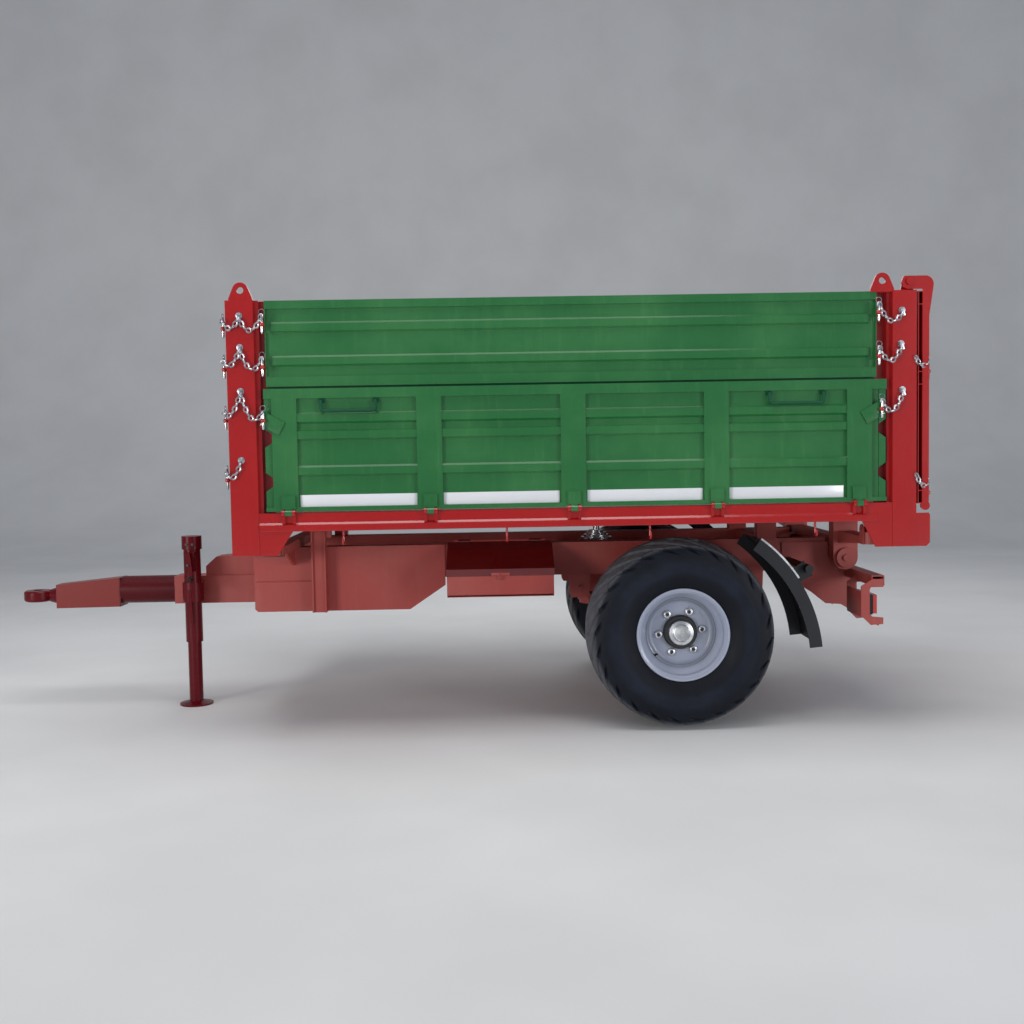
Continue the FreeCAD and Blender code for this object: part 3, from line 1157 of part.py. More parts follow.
def hook_arm(side):
    """Side plate of the gate, pointed below and hooked forward over the post."""
    y1 = side * HOOK_OUTER_Y
    y0 = y1 - side * HOOK_PLATE
    px, pz, r = GATE_PIVOT_X, GATE_PIVOT_Z, HOOK_RADIUS
    x0 = GATE_FRONT_X + 20
    x1 = GATE_FRONT_X + GATE_DEPTH
    low = GATE_BOTTOM_Z
    top = HOOK_TOP_Z
    rear = HOOK_REAR_X

    def at(x, z):
        return V(x, y1, z)

    edges = [
        Part.Arc(at(px, pz - r), at(px - r, pz), at(px - 20, top)).toShape(),
        Part.LineSegment(at(px - 20, top), at(rear - 32, top)).toShape(),
        Part.Arc(at(rear - 32, top), at(rear - 8, top - 14), at(rear, top - 44)).toShape(),
        Part.LineSegment(at(rear, top - 44), at(x1, top - 176)).toShape(),
        Part.LineSegment(at(x1, top - 176), at(x1, low + 34)).toShape(),
        Part.Arc(at(x1, low + 34), at(x1 - 11, low), at(x0, low + 34)).toShape(),
        Part.LineSegment(at(x0, low + 34), at(x0, pz - r)).toShape(),
        Part.LineSegment(at(x0, pz - r), at(px, pz - r)).toShape(),
    ]
    return Part.Face(Part.Wire(edges)).extrude(V(0, y0 - y1, 0))


# ================================================================ mudguards
def mudguard():
    """Rear-quarter guard with turned lips, on a round stay from the rail."""
    cx, cz, r = circle_through(FENDER_TOP, FENDER_MID, FENDER_END)
    a0 = math.atan2(FENDER_END[1] - cz, FENDER_END[0] - cx)
    a1 = math.atan2(FENDER_TOP[1] - cz, FENDER_TOP[0] - cx)
    y0, y1 = -FENDER_OUTER_Y, -FENDER_INNER_Y
    t = FENDER_SHEET
    sheet = ring_sector(cx, cz, r, r + t, a0, a1, y0, y1 - y0)
    lip_out = ring_sector(cx, cz, r - FENDER_LIP + t, r + t, a0, a1, y0, t)
    lip_in = ring_sector(cx, cz, r - FENDER_LIP + t, r + t, a0, a1, y1 - t, t)
    swage = ring_sector(cx, cz, r, r + t + 8, a0 + 0.02, a1 - 0.02, (y0 + y1) / 2 - 60, 120)
    stay_angle = math.atan2(STAY_Z - cz, STAY_X - cx)
    strap = ring_sector(cx, cz, r + t, r + t + 14, stay_angle - 0.16, a1 - 0.05, -790, 60)
    gap = math.hypot(STAY_X - cx, STAY_Z - cz)
    web = ring_sector(cx, cz, r + t + 4, gap + 4, stay_angle - 0.05, stay_angle + 0.05, -766, 12)
    stay = along_y(STAY_X, STAY_Z, -800, -FRAME_HALF, STAY_DIA)
    return fuse(sheet, lip_out, lip_in, swage, strap, web, stay)


# ================================================================ rear lamps
def lamp_bar():
    """Hollow bar across the back, between the two saddle plates."""
    x0, x1 = LAMP_BAR_X, LAMP_BAR_X + LAMP_BAR_DEPTH
    z0, z1 = LAMP_BAR_BOTTOM_Z, LAMP_BAR_BOTTOM_Z + LAMP_BAR_HEIGHT
    return tube_y(x0, x1, -RAIL_OUTER_Y, RAIL_OUTER_Y, z0, z1, LAMP_BAR_WALL)


def lamp_carrier():
    """Arm out to the lamp, with a C-shaped guard plate on each side of it."""
    x0, x1 = LAMP_BAR_X, LAMP_BAR_X + LAMP_BAR_DEPTH
    z1 = LAMP_BAR_BOTTOM_Z + LAMP_BAR_HEIGHT
    arm = tube_y(x0, x1, -GUARD_OUTER_Y, -FRAME_HALF, LAMP_ARM_BOTTOM_Z, z1, LAMP_BAR_WALL)
    back = box(GUARD_FRONT_X, GUARD_FRONT_X + 6, -GUARD_OUTER_Y, -GUARD_INNER_Y, LAMP_Z0 - 10, LAMP_Z1 + 14)
    return fuse(arm, back, lamp_guard(-GUARD_INNER_Y), lamp_guard(-GUARD_OUTER_Y))


def lamp_guard(y):
    """C-shaped plate, open to the rear, with chamfered corners."""
    x0, x1 = GUARD_FRONT_X, GUARD_REAR_X
    z0, z1 = GUARD_BOTTOM_Z, GUARD_TOP_Z
    b = GUARD_BAR
    outline = [(x0, z0 + 46), (x0 + 46, z0), (x1, z0 + 4), (x1, z0 + 34), (x0 + b + 6, z0 + 40)]
    outline += [(x0 + b, z0 + 50), (x0 + b, z1 - 50), (x0 + b + 6, z1 - 38), (x1, z1 - 38)]
    outline += [(x1, z1), (x0 + 52, z1), (x0, z1 - 34)]
    half = GUARD_PLATE / 2
    return plate_xz(outline, y - half, y + half)


def rear_lamp():
    y0, y1 = -GUARD_OUTER_Y + 6, -GUARD_INNER_Y - 6
    x0 = GUARD_FRONT_X + 6
    body = box(x0, x0 + LAMP_DEPTH, y0, y1, LAMP_Z0, LAMP_Z1)
    lens = box(x0 + LAMP_DEPTH, x0 + LAMP_DEPTH + 22, y0 + 4, y1 - 4, LAMP_Z0 + 4, LAMP_Z1 - 4)
    return fuse(body, lens)


# ================================================================ build
def main():
    os.makedirs("parts", exist_ok=True)
    save_pair("tyre", tyre())
    save_pair("rim", rim())
    save_pair("hub", hub())
    save("axle_beam", axle_beam())
    save_pair("leaf_spring", leaf_spring())
    save_pair("chassis_rail", chassis_rail())
    save("rear_cross_tube", cross_tube())
    save("cross_member_front", cross_member_front())
    save("cross_member_drawbar", cross_member_drawbar())
    save("cross_member_rear", cross_member_rear())
    save("drawbar_beam", drawbar_beam())
    save("drawbar_nose", drawbar_nose())
    save("towing_eye", towing_eye())
    save("jack_housing", jack_housing())
    save("jack_leg", jack_leg())
    save("toolbox", toolbox())
    save("toolbox_lid", toolbox_lid())
    save("front_bolster", front_bolster())
    save("rear_cradle", rear_cradle())
    save("pivot_ball_front", pivot_ball(FRONT_PIVOT_X))
    save("pivot_ball_rear", pivot_ball(REAR_PIVOT_X))
    save("ram_cradle", ram_cradle())
    save("ram_barrel", ram_barrel())
    for step in range(1, RAM_STAGES + 1):
        save("ram_stage_%d" % step, ram_stage(step))
    save("floor_frame", floor_frame())
    save("floor_sheet", floor_sheet())
    save_pair("post_front", post_front())
    save_pair("post_rear", post_rear())
    save_pair("side_board", side_board())
    save_pair("upper_board", upper_board())
    save("front_board", front_board())
    save("tailgate", tailgate())
    save_pair("mudguard", mudguard())
    save("lamp_bar", lamp_bar())
    save_pair("lamp_carrier", lamp_carrier())
    save_pair("rear_lamp", rear_lamp())


main()
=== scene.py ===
# %% [markdown]
# A three-way tipping farm trailer.
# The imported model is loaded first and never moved: it is the frame that every
# other piece is placed on. All lengths are metres, +X runs to the rear, the
# left side is -Y, and Z is height above the ground.

# %% Load the frame
import math
import bmesh
import bpy
import numpy as np
from mathutils import Matrix, Vector


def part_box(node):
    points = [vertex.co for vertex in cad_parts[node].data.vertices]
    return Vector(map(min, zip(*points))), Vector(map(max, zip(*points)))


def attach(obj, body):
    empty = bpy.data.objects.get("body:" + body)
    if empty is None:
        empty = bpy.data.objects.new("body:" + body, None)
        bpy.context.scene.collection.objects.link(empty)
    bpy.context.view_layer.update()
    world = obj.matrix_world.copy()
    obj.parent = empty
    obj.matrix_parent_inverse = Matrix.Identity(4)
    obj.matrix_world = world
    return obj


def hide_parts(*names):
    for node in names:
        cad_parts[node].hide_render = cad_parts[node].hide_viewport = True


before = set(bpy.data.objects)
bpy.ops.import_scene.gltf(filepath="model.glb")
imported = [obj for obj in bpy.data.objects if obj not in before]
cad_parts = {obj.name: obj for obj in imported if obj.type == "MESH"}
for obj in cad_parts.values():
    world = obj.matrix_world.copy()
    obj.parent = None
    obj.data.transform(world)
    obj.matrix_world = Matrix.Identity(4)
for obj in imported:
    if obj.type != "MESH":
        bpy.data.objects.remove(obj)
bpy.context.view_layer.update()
print("nodes in the frame:", len(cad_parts))

# %% [markdown]
# Places come from the frame. A node's box gives its lowest and highest corner,
# so the axle, the posts and the boards can be found without any fitting, and
# the trim follows when the model changes.

# %% Places read from the frame
def corners(node):
    """The two corners of a node's box, as arrays."""
    low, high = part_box(node)
    return np.array(low), np.array(high)


TYRE_LOW, TYRE_HIGH = corners("tyre_left")
AXLE_X, TRACK_HALF, AXLE_Z = ((TYRE_LOW + TYRE_HIGH) / 2 * (1, -1, 1)).tolist()
TYRE_HALF, TYRE_RADIUS = ((TYRE_HIGH - TYRE_LOW) / 2)[1:].tolist()
SIDES = {"left": -1.0, "right": 1.0}
print("axle at x %.3f, z %.3f, tyre radius %.3f" % (AXLE_X, AXLE_Z, TYRE_RADIUS))

# %% [markdown]
# Every new piece is a grid of points worked out with numpy. `grid_faces` joins
# the points of a grid into quads, and `Shape` gathers several grids, so that a
# piece made of many small parts, such as a chain, is still one mesh.

# %% Grids of points and their faces
def grid_faces(rows, cols, close_rows=False, close_cols=False):
    """Quads that join neighbouring points of a rows x cols grid."""
    i = np.arange(rows if close_rows else rows - 1)[:, None]
    j = np.arange(cols if close_cols else cols - 1)[None, :]
    i2, j2 = (i + 1) % rows, (j + 1) % cols
    around = np.broadcast_arrays(i * cols + j, i2 * cols + j, i2 * cols + j2, i * cols + j2)
    return np.stack(around, -1).reshape(-1, 4)


def add_object(name, data):
    """A new object in the scene."""
    made = bpy.data.objects.new(name, data)
    bpy.context.scene.collection.objects.link(made)
    return made


SHARP_ANGLE = math.radians(38)
WELD_DISTANCE = 1e-6


class Shape:
    """Collects rings of points and caps into one list of points and faces."""

    def __init__(self):
        self.points, self.quads, self.caps, self.count = [], [], [], 0

    def lathe(self, points, close_rows=False, cap=False):
        """Adds rings of points, as a (rows, cols, 3) grid whose columns close."""
        rows, cols = points.shape[:2]
        self.points.append(points.reshape(-1, 3))
        self.quads.append(grid_faces(rows, cols, close_rows, True) + self.count)
        if cap:
            number = self.count + np.arange(rows * cols).reshape(rows, cols)
            self.caps += [number[0].tolist(), number[-1, ::-1].tolist()]
        self.count += rows * cols
        return self

    def solid(self, points):
        """Adds rings of points whose first and last are closed by caps."""
        return self.lathe(points, cap=True)

    def loop(self, points):
        """Adds rings of points whose last joins the first."""
        return self.lathe(points, close_rows=True)

    def place(self, name, body, paint, smooth=True, outward=True):
        """Makes the mesh object, lets it ride on a body and paints it."""
        mesh = bpy.data.meshes.new(name)
        faces = np.concatenate(self.quads).tolist() + self.caps
        mesh.from_pydata(np.concatenate(self.points).tolist(), [], faces)
        mesh.validate()
        if outward:
            bm = bmesh.new()
            bm.from_mesh(mesh)
            bmesh.ops.remove_doubles(bm, verts=bm.verts, dist=WELD_DISTANCE)
            bmesh.ops.recalc_face_normals(bm, faces=bm.faces)
            bm.to_mesh(mesh)
            bm.free()
        piece = add_object(name, mesh)
        mesh.materials.append(paint)
        mesh.polygons.foreach_set("use_smooth", [smooth] * len(mesh.polygons))
        if smooth:
            mesh.set_sharp_from_angle(angle=SHARP_ANGLE)
        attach(piece, body)
        return piece


# %% [markdown]
# Most small parts are round: a profile turned about an axis, a bar bent along
# a path, or a box with eased edges. Each helper gives the points of such a
# surface as one array.

# %% Surfaces of revolution, swept bars and eased blocks
def turned(profile, centre, axis, steps):
    """Points of a lathe: each (radius, distance) pair goes round the Y or Z axis."""
    angle = np.linspace(0, 2 * math.pi, steps, endpoint=False)
    radius = np.array([p[0] for p in profile])[:, None]
    along = np.array([p[1] for p in profile])[:, None] + 0 * angle[None, :]
    a, b = radius * np.cos(angle), radius * np.sin(angle)
    return np.stack((a, along, b) if axis == "y" else (a, b, along), -1) + np.array(centre)


def swept(path, radius, sides, up):
    """Points of a round bar along a path: circles set square to its tangent."""
    path = np.asarray(path, float)
    tangent = np.gradient(path, axis=0)
    tangent /= np.linalg.norm(tangent, axis=1)[:, None]
    side = np.cross(tangent, np.array(up, float))
    # where the path runs along "up", another direction is square to it
    weak = np.linalg.norm(side, axis=1) < 1e-3
    side[weak] = np.cross(tangent[weak], np.array((1.0, 0.02, 0.0)))
    side /= np.linalg.norm(side, axis=1)[:, None]
    other = np.cross(side, tangent)
    angle = np.linspace(0, 2 * math.pi, sides, endpoint=False)
    across, along = np.cos(angle)[None, :, None], np.sin(angle)[None, :, None]
    ring = across * side[:, None] + along * other[:, None]
    return path[:, None] + np.reshape(radius, (-1, 1, 1)) * ring


def eased_block(low, high, ease):
    """Points of a box whose long edges are rounded: a super-ellipse per layer."""
    low, high = np.array(low, float), np.array(high, float)
    centre, half = (low + high) / 2, (high - low) / 2
    ease = min(ease, *(half * 0.9))
    inset = np.array([1.0, 0.3, 0.0, 0.0, 0.3, 1.0]) * ease
    z = np.array([0.0, 0.0, 1.0, -1.0, 0.0, 0.0]) * ease + np.repeat((-half[2], half[2]), 3)
    sign = np.repeat([(1, 1), (-1, 1), (-1, -1), (1, -1)], 3, axis=0)
    turn = np.radians([k * 90 + step for k in range(4) for step in (0, 45, 90)])
    radius = np.maximum(ease - inset, ease * 0.05)[:, None, None]
    flat = sign * (half[:2] - ease) + radius * np.stack([np.cos(turn), np.sin(turn)], -1)
    return np.concatenate([flat, np.broadcast_to(z[:, None, None], (6, 12, 1))], -1) + centre


print("helpers ready")


# %% [markdown]
# Enamel on sheet steel is never one flat colour. It fades a little in broad
# patches, dust settles on what faces up, rain leaves upright streaks, and the
# sheet itself is slightly wavy, which bends the reflections. One node group
# gives all of this to every painted piece, each with its own amounts.

# %% Node helpers
def fill(tree, made, **sockets):
    """Fills a node's inputs, by name or as i0, i1 by number; a value may be a link."""
    for key, value in sockets.items():
        by_number = key[0] == "i" and key[1:].isdigit()
        socket = made.inputs[int(key[1:]) if by_number else key.replace("_", " ")]
        if isinstance(value, bpy.types.NodeSocket):
            tree.links.new(value, socket)
        else:
            socket.default_value = value
    return made


def node(tree, kind, settings=None, **sockets):
    """A new node with its settings and inputs filled in."""
    made = tree.nodes.new(kind)
    for key, value in (settings or {}).items():
        setattr(made, key, value)
    return fill(tree, made, **sockets)


def maths(tree, operation, a, b=0.0, clamp=False):
    settings = {"operation": operation, "use_clamp": clamp}
    return node(tree, "ShaderNodeMath", settings, i0=a, i1=b).outputs[0]


def times(tree, a, b, clamp=False):
    return maths(tree, "MULTIPLY", a, b, clamp)


def add(tree, a, b, clamp=False):
    return maths(tree, "ADD", a, b, clamp)


def blend_colour(tree, factor, a, b, mode="MIX"):
    settings = {"data_type": "RGBA", "blend_type": mode}
    return node(tree, "ShaderNodeMix", settings, i0=factor, i6=a, i7=b).outputs[2]


def ramp(tree, value, low, high):
    """0 below low, 1 above high, smooth between."""
    smooth = {"interpolation_type": "SMOOTHSTEP"}
    return node(tree, "ShaderNodeMapRange", smooth, Value=value, From_Min=low, From_Max=high).outputs[0]


def noise(tree, where, scale, detail=3.0, rough=0.55):
    made = node(tree, "ShaderNodeTexNoise", Vector=where, Scale=scale, Detail=detail, Roughness=rough)
    return made.outputs["Fac"]


def object_place(tree):
    """The point's place in object coordinates, which are the frame's."""
    return tree.nodes.new("ShaderNodeTexCoord").outputs["Object"]


# %% Node group: worn enamel
DUST = (0.30, 0.25, 0.20, 1)
# the group's inputs with their usual values
WORN_INPUTS = {"Paint": (0.5, 0.0, 0.0, 1), "Faded": (0.6, 0.2, 0.2, 1), "Dust": DUST,
               "Fade Amount": 0.3, "Dust Amount": 0.3, "Gloss": 0.25, "Waviness": 1.0}


def make_enamel_group():
    """Colour, roughness and height of old enamel from object coordinates.

    In words: the paint goes over to its faded colour in patches and streaks.
    Dust lies thickest where the surface faces up. Dust and grain roughen the
    gloss, and the height is broad waves plus a little fine grain.
    """
    group = bpy.data.node_groups.new("worn enamel", "ShaderNodeTree")
    for label, value in WORN_INPUTS.items():
        kind = "NodeSocketColor" if isinstance(value, tuple) else "NodeSocketFloat"
        group.interface.new_socket(label, in_out="INPUT", socket_type=kind).default_value = value
    for label, kind in (("Colour", "Color"), ("Roughness", "Float"), ("Height", "Float")):
        group.interface.new_socket(label, in_out="OUTPUT", socket_type="NodeSocket" + kind)
    amount, result = group.nodes.new("NodeGroupInput").outputs, group.nodes.new("NodeGroupOutput")
    where = object_place(group)
    facing = group.nodes.new("ShaderNodeNewGeometry").outputs["Normal"]
    upward = node(group, "ShaderNodeSeparateXYZ", Vector=facing).outputs["Z"]
    stretch = node(group, "ShaderNodeMapping", Vector=where, Scale=(9.0, 9.0, 0.9))
    patches = noise(group, where, 2.3, 4.0)
    streaks = noise(group, stretch.outputs[0], 3.0, 5.0, 0.65)
    grain = noise(group, where, 70.0, 4.0, 0.7)
    fine = noise(group, where, 420.0, 2.0)
    fade = times(group, ramp(group, patches, 0.38, 0.72), amount["Fade Amount"])
    fade_streak = times(group, ramp(group, streaks, 0.5, 0.78), amount["Fade Amount"])
    fade = add(group, fade, times(group, fade_streak, 0.6), True)
    colour = blend_colour(group, fade, amount["Paint"], amount["Faded"])
    settles = add(group, times(group, ramp(group, upward, 0.2, 0.95), 0.85), 0.15)
    speck = ramp(group, grain, 0.42, 0.75)
    dust = times(group, settles, add(group, times(group, speck, 0.7), 0.3))
    dust = times(group, dust, amount["Dust Amount"], True)
    colour = blend_colour(group, dust, colour, amount["Dust"])
    rough = add(group, amount["Gloss"], times(group, dust, 0.5))
    rough = add(group, rough, times(group, maths(group, "SUBTRACT", grain, 0.5), 0.10), True)
    sheet = times(group, noise(group, where, 3.4, 1.5), amount["Waviness"])
    height = add(group, sheet, times(group, fine, 0.012))
    height = add(group, height, times(group, grain, 0.02))
    fill(group, result, Colour=colour, Roughness=rough, Height=height)
    return group


ENAMEL = make_enamel_group()
print("group:", ENAMEL.name)

# %% [markdown]
# Each paint is a Principled shader over the group's colour, some with a thin
# clear coat. The green of the boards and the bright red of the box are fresh
# and glossy; the chassis is a red gone dull and brownish with dust.

# %% Paints
def new_material(name):
    material = bpy.data.materials.new(name)
    material.use_nodes = True
    tree = material.node_tree
    return material, tree, tree.nodes["Principled BSDF"]


def bump(tree, height, distance, strength=1.0):
    return node(tree, "ShaderNodeBump", Strength=strength, Distance=distance, Height=height).outputs[0]


def enamel(name, paint, faded, gloss=0.22, fade=0.3, dust=0.25, waviness=1.0, coat=0.5,
           dust_colour=DUST):
    """A paint of the worn enamel group: its two colours and its amounts."""
    material, tree, shader = new_material(name)
    worn = node(tree, "ShaderNodeGroup", {"node_tree": ENAMEL}, Paint=(*paint, 1), Faded=(*faded, 1),
                Dust=dust_colour, Fade_Amount=fade, Dust_Amount=dust, Gloss=gloss, Waviness=waviness)
    fill(tree, shader, Base_Color=worn.outputs["Colour"], Roughness=worn.outputs["Roughness"],
         Normal=bump(tree, worn.outputs["Height"], 0.004), Coat_Weight=coat, Coat_Roughness=0.12)
    return material


GREEN = enamel("green enamel", (0.012, 0.128, 0.030), (0.042, 0.190, 0.055), fade=0.6, dust=0.06)
# a darker, duller copy of the board green: for the fold handles, and on the gap lip it is painted shade
DULL_GREEN_AND_GAP_SHADE = enamel("dull green and gap shade", (0.005, 0.070, 0.030), (0.008, 0.100, 0.045), gloss=0.60, fade=0.4,
                    dust=0.02, coat=0.0)
RED = enamel("box red enamel", (0.36, 0.001, 0.0015), (0.42, 0.008, 0.007), fade=0.4, dust=0.05)
CHASSIS = enamel("dull chassis red", (0.34, 0.044, 0.036), (0.38, 0.080, 0.066), gloss=0.50, fade=0.7,
                 dust=0.16, waviness=0.5, coat=0.0)
MAROON = enamel("dark red gloss", (0.095, 0.0006, 0.004), (0.125, 0.003, 0.008), gloss=0.26, fade=0.5,
                dust=0.02, waviness=0.3, coat=0.0)
RIM = enamel("silver rim paint", (0.33, 0.365, 0.475), (0.37, 0.39, 0.45), gloss=0.34, fade=0.5,
             dust=0.14, waviness=0.2, coat=0.25, dust_colour=(0.24, 0.22, 0.20, 1))
HUB = enamel("black hub paint", (0.004, 0.004, 0.005), (0.014, 0.014, 0.014), gloss=0.30, dust=0.05,
             waviness=0.1)
GUARD = enamel("black mudguard plastic", (0.0035, 0.004, 0.007), (0.010, 0.012, 0.018), gloss=0.42,
               fade=0.6, dust=0.06, waviness=0.4, coat=0.0)
WHITE = enamel("white marking film", (0.74, 0.75, 0.78), (0.66, 0.67, 0.70), gloss=0.30, fade=0.4,
               dust=0.12, waviness=0.1)
# a darker red than the toolbox below it: painted shade on the sloped lid
LID_SHADE_RED = enamel("lid red gloss with painted shade", (0.11, 0.002, 0.003), (0.20, 0.02, 0.02), gloss=0.20, dust=0.03,
             waviness=0.6, coat=0.8)
FLOOR_PAINT = enamel("scuffed floor red", (0.26, 0.020, 0.018), (0.30, 0.10, 0.08), gloss=0.42,
                     fade=0.8, dust=0.55, waviness=0.6, coat=0.1)


def two_tone(name, front, back, edge_x, soft=0.003):
    """Enamel that changes from one colour to another at a given x."""
    material = enamel(name, front, back, gloss=0.34, fade=0.0, dust=0.05, waviness=0.4, coat=0.0)
    tree = material.node_tree
    x = node(tree, "ShaderNodeSeparateXYZ", Vector=object_place(tree)).outputs["X"]
    reached = ramp(tree, x, edge_x - soft, edge_x + soft)
    mixed = blend_colour(tree, reached, (*front, 1), (*back, 1))
    group = next(n for n in tree.nodes if n.bl_idname == "ShaderNodeGroup")
    fill(tree, group, Paint=mixed)
    return material


SLEEVE_END_X = AXLE_X - 2.842
NOSE = two_tone("drawbar nose red", (0.19, 0.018, 0.015), (0.075, 0.0006, 0.004), SLEEVE_END_X)
# thin or dull paints with little shine of their own
for paint in (MAROON, NOSE, DULL_GREEN_AND_GAP_SHADE):
    paint.node_tree.nodes["Principled BSDF"].inputs["Specular IOR Level"].default_value = 0.22


def lamp_paint():
    """Black housing in front, then a ribbed lens: red outside, amber inside."""
    lens_depth, split, rib_pitch = 0.018, 0.38, 0.003
    material, tree, shader = new_material("rear lamp")
    low, high = corners("rear_lamp_left")
    axes = node(tree, "ShaderNodeSeparateXYZ", Vector=object_place(tree)).outputs
    across = maths(tree, "ABSOLUTE", axes["Y"])
    edge = abs(float(low[1] + (high[1] - low[1]) * split))
    outside = ramp(tree, across, edge - 0.0005, edge + 0.0005)
    lens_x = float(high[0]) - lens_depth
    lens = ramp(tree, axes["X"], lens_x - 0.0005, lens_x + 0.0005)
    glass = blend_colour(tree, outside, (0.60, 0.19, 0.008, 1), (0.46, 0.045, 0.040, 1))
    colour = blend_colour(tree, lens, (0.006, 0.006, 0.007, 1), glass)
    ribs = maths(tree, "PINGPONG", axes["Y"], rib_pitch)
    height = times(tree, times(tree, ribs, 300.0), lens)
    fill(tree, shader, Base_Color=colour, Normal=bump(tree, height, 0.0012), Roughness=0.14)
    return material


LAMP = lamp_paint()
print("paints made:", len(bpy.data.materials))

# %% [markdown]
# Bare metal and rubber. Zinc chain is grey with a soft shine that varies from
# link to link; chromed pins and the hub caps are brighter. Rubber is nearly
# black, dry, and greyed by dust where it is not touched by the ground.

# %% Metals and rubber
def metal(name, colour, rough, scale, spread):
    """Metal whose roughness and tone drift with noise of the given scale."""
    material, tree, shader = new_material(name)
    where = object_place(tree)
    drift = noise(tree, where, scale, 4.0)
    dark = tuple(c * 0.6 for c in colour[:3]) + (1,)
    tone = blend_colour(tree, ramp(tree, drift, 0.3, 0.65), dark, colour)
    fill(tree, shader, Metallic=1.0, Base_Color=tone)
    uneven = times(tree, maths(tree, "SUBTRACT", drift, 0.5), spread)
    fill(tree, shader, Roughness=add(tree, uneven, rough, True))
    fill(tree, shader, Normal=bump(tree, noise(tree, where, scale * 6, 2.0), 0.0004, 0.4))
    return material


ZINC = metal("zinc plating", (0.62, 0.64, 0.68, 1), 0.38, 60.0, 0.5)
CHROME = metal("bright pin steel", (0.80, 0.80, 0.82, 1), 0.16, 30.0, 0.2)
ALUMINIUM = metal("pale hub cap metal", (0.82, 0.83, 0.85, 1), 0.42, 26.0, 0.3)
GROUND_STEEL = metal("ground ram steel", (0.55, 0.56, 0.58, 1), 0.22, 25.0, 0.3)
SPRING_STEEL = metal("dark spring steel", (0.10, 0.09, 0.085, 1), 0.55, 18.0, 0.4)


def rubber(name, colour, dusty, amount):
    """Dry rubber with clouds and specks of dust."""
    material, tree, shader = new_material(name)
    where = object_place(tree)
    cloud = noise(tree, where, 9.0, 5.0, 0.65)
    speck = noise(tree, where, 160.0, 3.0, 0.7)
    mask = times(tree, ramp(tree, cloud, 0.35, 0.75), amount)
    mask = add(tree, mask, times(tree, ramp(tree, speck, 0.55, 0.8), amount * 0.5), True)
    fill(tree, shader, Specular_IOR_Level=0.2, Base_Color=blend_colour(tree, mask, colour, dusty))
    fill(tree, shader, Roughness=add(tree, times(tree, mask, 0.3), 0.52, True))
    fill(tree, shader, Normal=bump(tree, add(tree, speck, times(tree, cloud, 0.5)), 0.0012, 0.6))
    return material


TYRE = rubber("tyre rubber", (0.0055, 0.0080, 0.0160, 1), (0.016, 0.022, 0.038, 1), 0.6)

# %% [markdown]
# A wheel's paint changes in rings. The rim is painted darker on its disc, in
# its drop and under its flange: painted shade. The side wall is painted palest
# half way up, a painted sheen where it bulges, and darker above and below it.
# The tread blocks carry grey road dust, with a painted highlight on the crowns.

# %% Rings of painted shade, sheen and dust on rim and tyre
def from_axle(tree, where):
    """Distance of a point from the axle line, in metres."""
    flat = node(tree, "ShaderNodeVectorMath", {"operation": "MULTIPLY_ADD"},
                i0=where, i1=(1, 0, 1), i2=(-AXLE_X, 0, -AXLE_Z))
    far = node(tree, "ShaderNodeVectorMath", {"operation": "LENGTH"}, i0=flat.outputs[0])
    return far.outputs["Value"]


def base_colour(material):
    """A material's tree, its base colour socket and what is linked to it so far."""
    base = material.node_tree.nodes["Principled BSDF"].inputs["Base Color"]
    return material.node_tree, base, base.links[0].from_socket


def shade_by_radius(material, greys):
    """Multiplies the paint by a grey for each distance from the axle line."""
    tree, base, before = base_colour(material)
    bands = node(tree, "ShaderNodeValToRGB", Fac=from_axle(tree, object_place(tree)))
    stops = bands.color_ramp.elements
    stops.remove(stops[1])
    for radius, grey in greys:
        stops.new(radius).color = (grey, grey, grey, 1)
    tree.links.new(blend_colour(tree, 1.0, before, bands.outputs["Color"], "MULTIPLY"), base)


def dust_and_highlight_crown(material, inner=0.395, outer=0.425):
    """Grey road dust and a painted highlight over the tread blocks, by distance from the axle line."""
    tree, base, before = base_colour(material)
    where = object_place(tree)
    far = from_axle(tree, where)
    speck = add(tree, times(tree, noise(tree, where, 35.0, 4.0), 0.7), 0.25, True)
    mask = times(tree, ramp(tree, far, inner, outer), speck)
    # pale grey over the crown: road dust, and a painted highlight on the lug crowns
    tree.links.new(blend_colour(tree, mask, before, (0.16, 0.165, 0.18, 1)), base)


# the rim is painted darker on its disc, in its drop and just under its flange: painted shade
RIM_SHADE_RINGS = ((0.100, 0.90), (0.146, 0.90), (0.152, 0.50), (0.162, 0.68), (0.175, 1.0), (0.198, 1.0),
            (0.2015, 0.60), (0.205, 1.0))
# side wall painted lighter half way up, a painted sheen on the bulge, and darker towards the rim and
# the tread
WALL_SHEEN_TONES = ((0.22, 0.40), (0.27, 0.50), (0.295, 1.0), (0.335, 0.85), (0.36, 0.50), (0.41, 0.70))
shade_by_radius(RIM, RIM_SHADE_RINGS)
shade_by_radius(TYRE, WALL_SHEEN_TONES)
dust_and_highlight_crown(TYRE)
HOSE = rubber("hose rubber", (0.010, 0.010, 0.011, 1), (0.04, 0.04, 0.04, 1), 0.3)
RED_BALL = enamel("red pin grip", (0.40, 0.010, 0.010), (0.46, 0.05, 0.04), gloss=0.28, fade=0.2,
                  dust=0.1, waviness=0.0)
print("materials in all:", len(bpy.data.materials))

# %% [markdown]
# The CAD nodes keep their shapes. Each gets the paint of its own piece.

